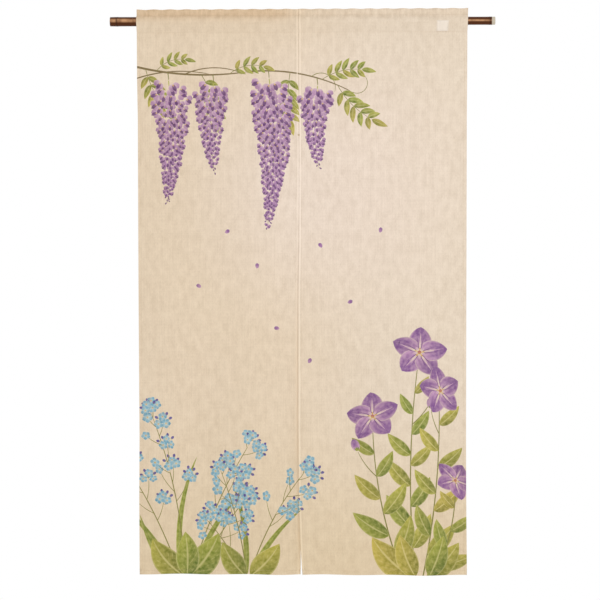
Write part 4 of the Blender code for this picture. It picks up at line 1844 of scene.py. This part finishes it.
# %% The label's stitches
LABEL_INSET = 0.0016  # from the tape's folded ends
LABEL_MARGIN = 0.0010  # from its selvedges
LABEL_FACE = LABEL_LIFT + LABEL_THICKNESS / 2 + 0.00005
label_start = label_u(LABEL_LEFT)
low_line = LABEL_LOW + LABEL_MARGIN
high_line = LABEL_HIGH - LABEL_MARGIN
ends = []
for place in (label_start + LABEL_INSET, label_start + LABEL_WIDTH - LABEL_INSET):
    ends += stitch_line("right_panel", (place, low_line), (place, high_line), LABEL_FACE)
label_stitches = sew("label_stitches", ends)

# %% [markdown]
# ## The panels' flat size
# Each panel is a sheet, cut flat and then hung. Its flat size is the finished width with both hems let out,
# and the whole length from the raw edge in the foot hem, over the header, to the one behind the pocket.

# %% The sheets
FLAT_LENGTH = CLOTH_END - SHEET_FOOT + FOOT_HEM
for panel in PANELS:
    flat = (panel_width(panel) + 2 * SIDE_HEM, FLAT_LENGTH)
    print(panel, "was cut to", [round(side, 4) for side in flat])

# %% [markdown]
# ## Floor, light and camera
# The curtain hangs clear of a plain pale floor, in a white room. The camera stands five metres away, level,
# and a little to the right, with a long lens, so that the cloth's edges stay parallel.

# %% The floor
FLOOR_HEIGHT = -1.95
FLOOR_FRONT = -7.0
FLOOR_BACK = 2.3
FLOOR_HALF_WIDTH = 5.0


def make_floor():
    """One pale sheet below the curtain, with a faint cloudiness so that it doesn't look like a blank."""
    bm = bmesh.new()
    bmesh.ops.create_grid(bm, x_segments=2, y_segments=2, size=0.5)
    for corner in bm.verts:
        depth = between(FLOOR_FRONT, FLOOR_BACK, corner.co.y + 0.5)
        corner.co = (corner.co.x * 2 * FLOOR_HALF_WIDTH, depth, FLOOR_HEIGHT)
    mesh = bpy.data.meshes.new("floor")
    bm.to_mesh(mesh)
    bm.free()
    made, tree, shader = new_material("pale_floor", 0.9, 0.1)
    place = add(tree, "ShaderNodeTexCoord").outputs["Object"]
    cloudy = stretched_noise(tree, place, (0.7, 0.7, 0.7), 2.0)
    tree.links.new(mix(tree, cloudy, (0.83, 0.82, 0.80), (0.87, 0.86, 0.85)), shader.inputs["Base Color"])
    mesh.materials.append(made)
    floor = bpy.data.objects.new("floor", mesh)
    bpy.context.scene.collection.objects.link(floor)


make_floor()
print("floor height in metres, with the pole at 0:", FLOOR_HEIGHT)

# %% The light
scene = bpy.context.scene
scene.view_settings.view_transform = "Standard"
room = bpy.data.worlds.new("white_room")
room.use_nodes = True
room.node_tree.nodes["Background"].inputs["Color"].default_value = (1.0, 1.0, 1.0, 1.0)
room.node_tree.nodes["Background"].inputs["Strength"].default_value = 1.0
scene.world = room
LIGHT_AIM = Vector((0.0, 0.0, -0.70))


def soft_light(name, place, side, power):
    """A square lamp that faces the curtain's middle. The larger its side, the softer its shadows."""
    made = bpy.data.lights.new(name, "AREA")
    made.shape = "SQUARE"
    made.size = side
    made.energy = power
    lamp = bpy.data.objects.new(name, made)
    lamp.location = place
    lamp.rotation_mode = "QUATERNION"
    lamp.rotation_quaternion = (LIGHT_AIM - Vector(place)).to_track_quat("-Z", "Y")
    bpy.context.scene.collection.objects.link(lamp)


soft_light("key", (1.9, -3.5, -0.3), 1.6, 33.0)
print("one soft light from the right, in a white room")

# %% The camera
CAMERA_DISTANCE = 5.0
CAMERA_TURN = math.radians(1.9)
SENSOR = 36.0
FRAME_SIDE = 1.589  # metres of the curtain's plane across the picture
aim = Vector((-0.0055, 0.0, -0.7382))
camera = bpy.data.objects.new("camera", bpy.data.cameras.new("camera"))
camera.data.sensor_width = SENSOR
camera.data.lens = SENSOR * CAMERA_DISTANCE / FRAME_SIDE
back = Vector((math.sin(CAMERA_TURN), -math.cos(CAMERA_TURN), 0.0))
camera.location = aim + back * CAMERA_DISTANCE
camera.rotation_mode = "QUATERNION"
camera.rotation_quaternion = (-back).to_track_quat("-Z", "Y")
bpy.context.scene.collection.objects.link(camera)
bpy.context.scene.camera = camera
print("lens:", round(camera.data.lens, 1), "mm")
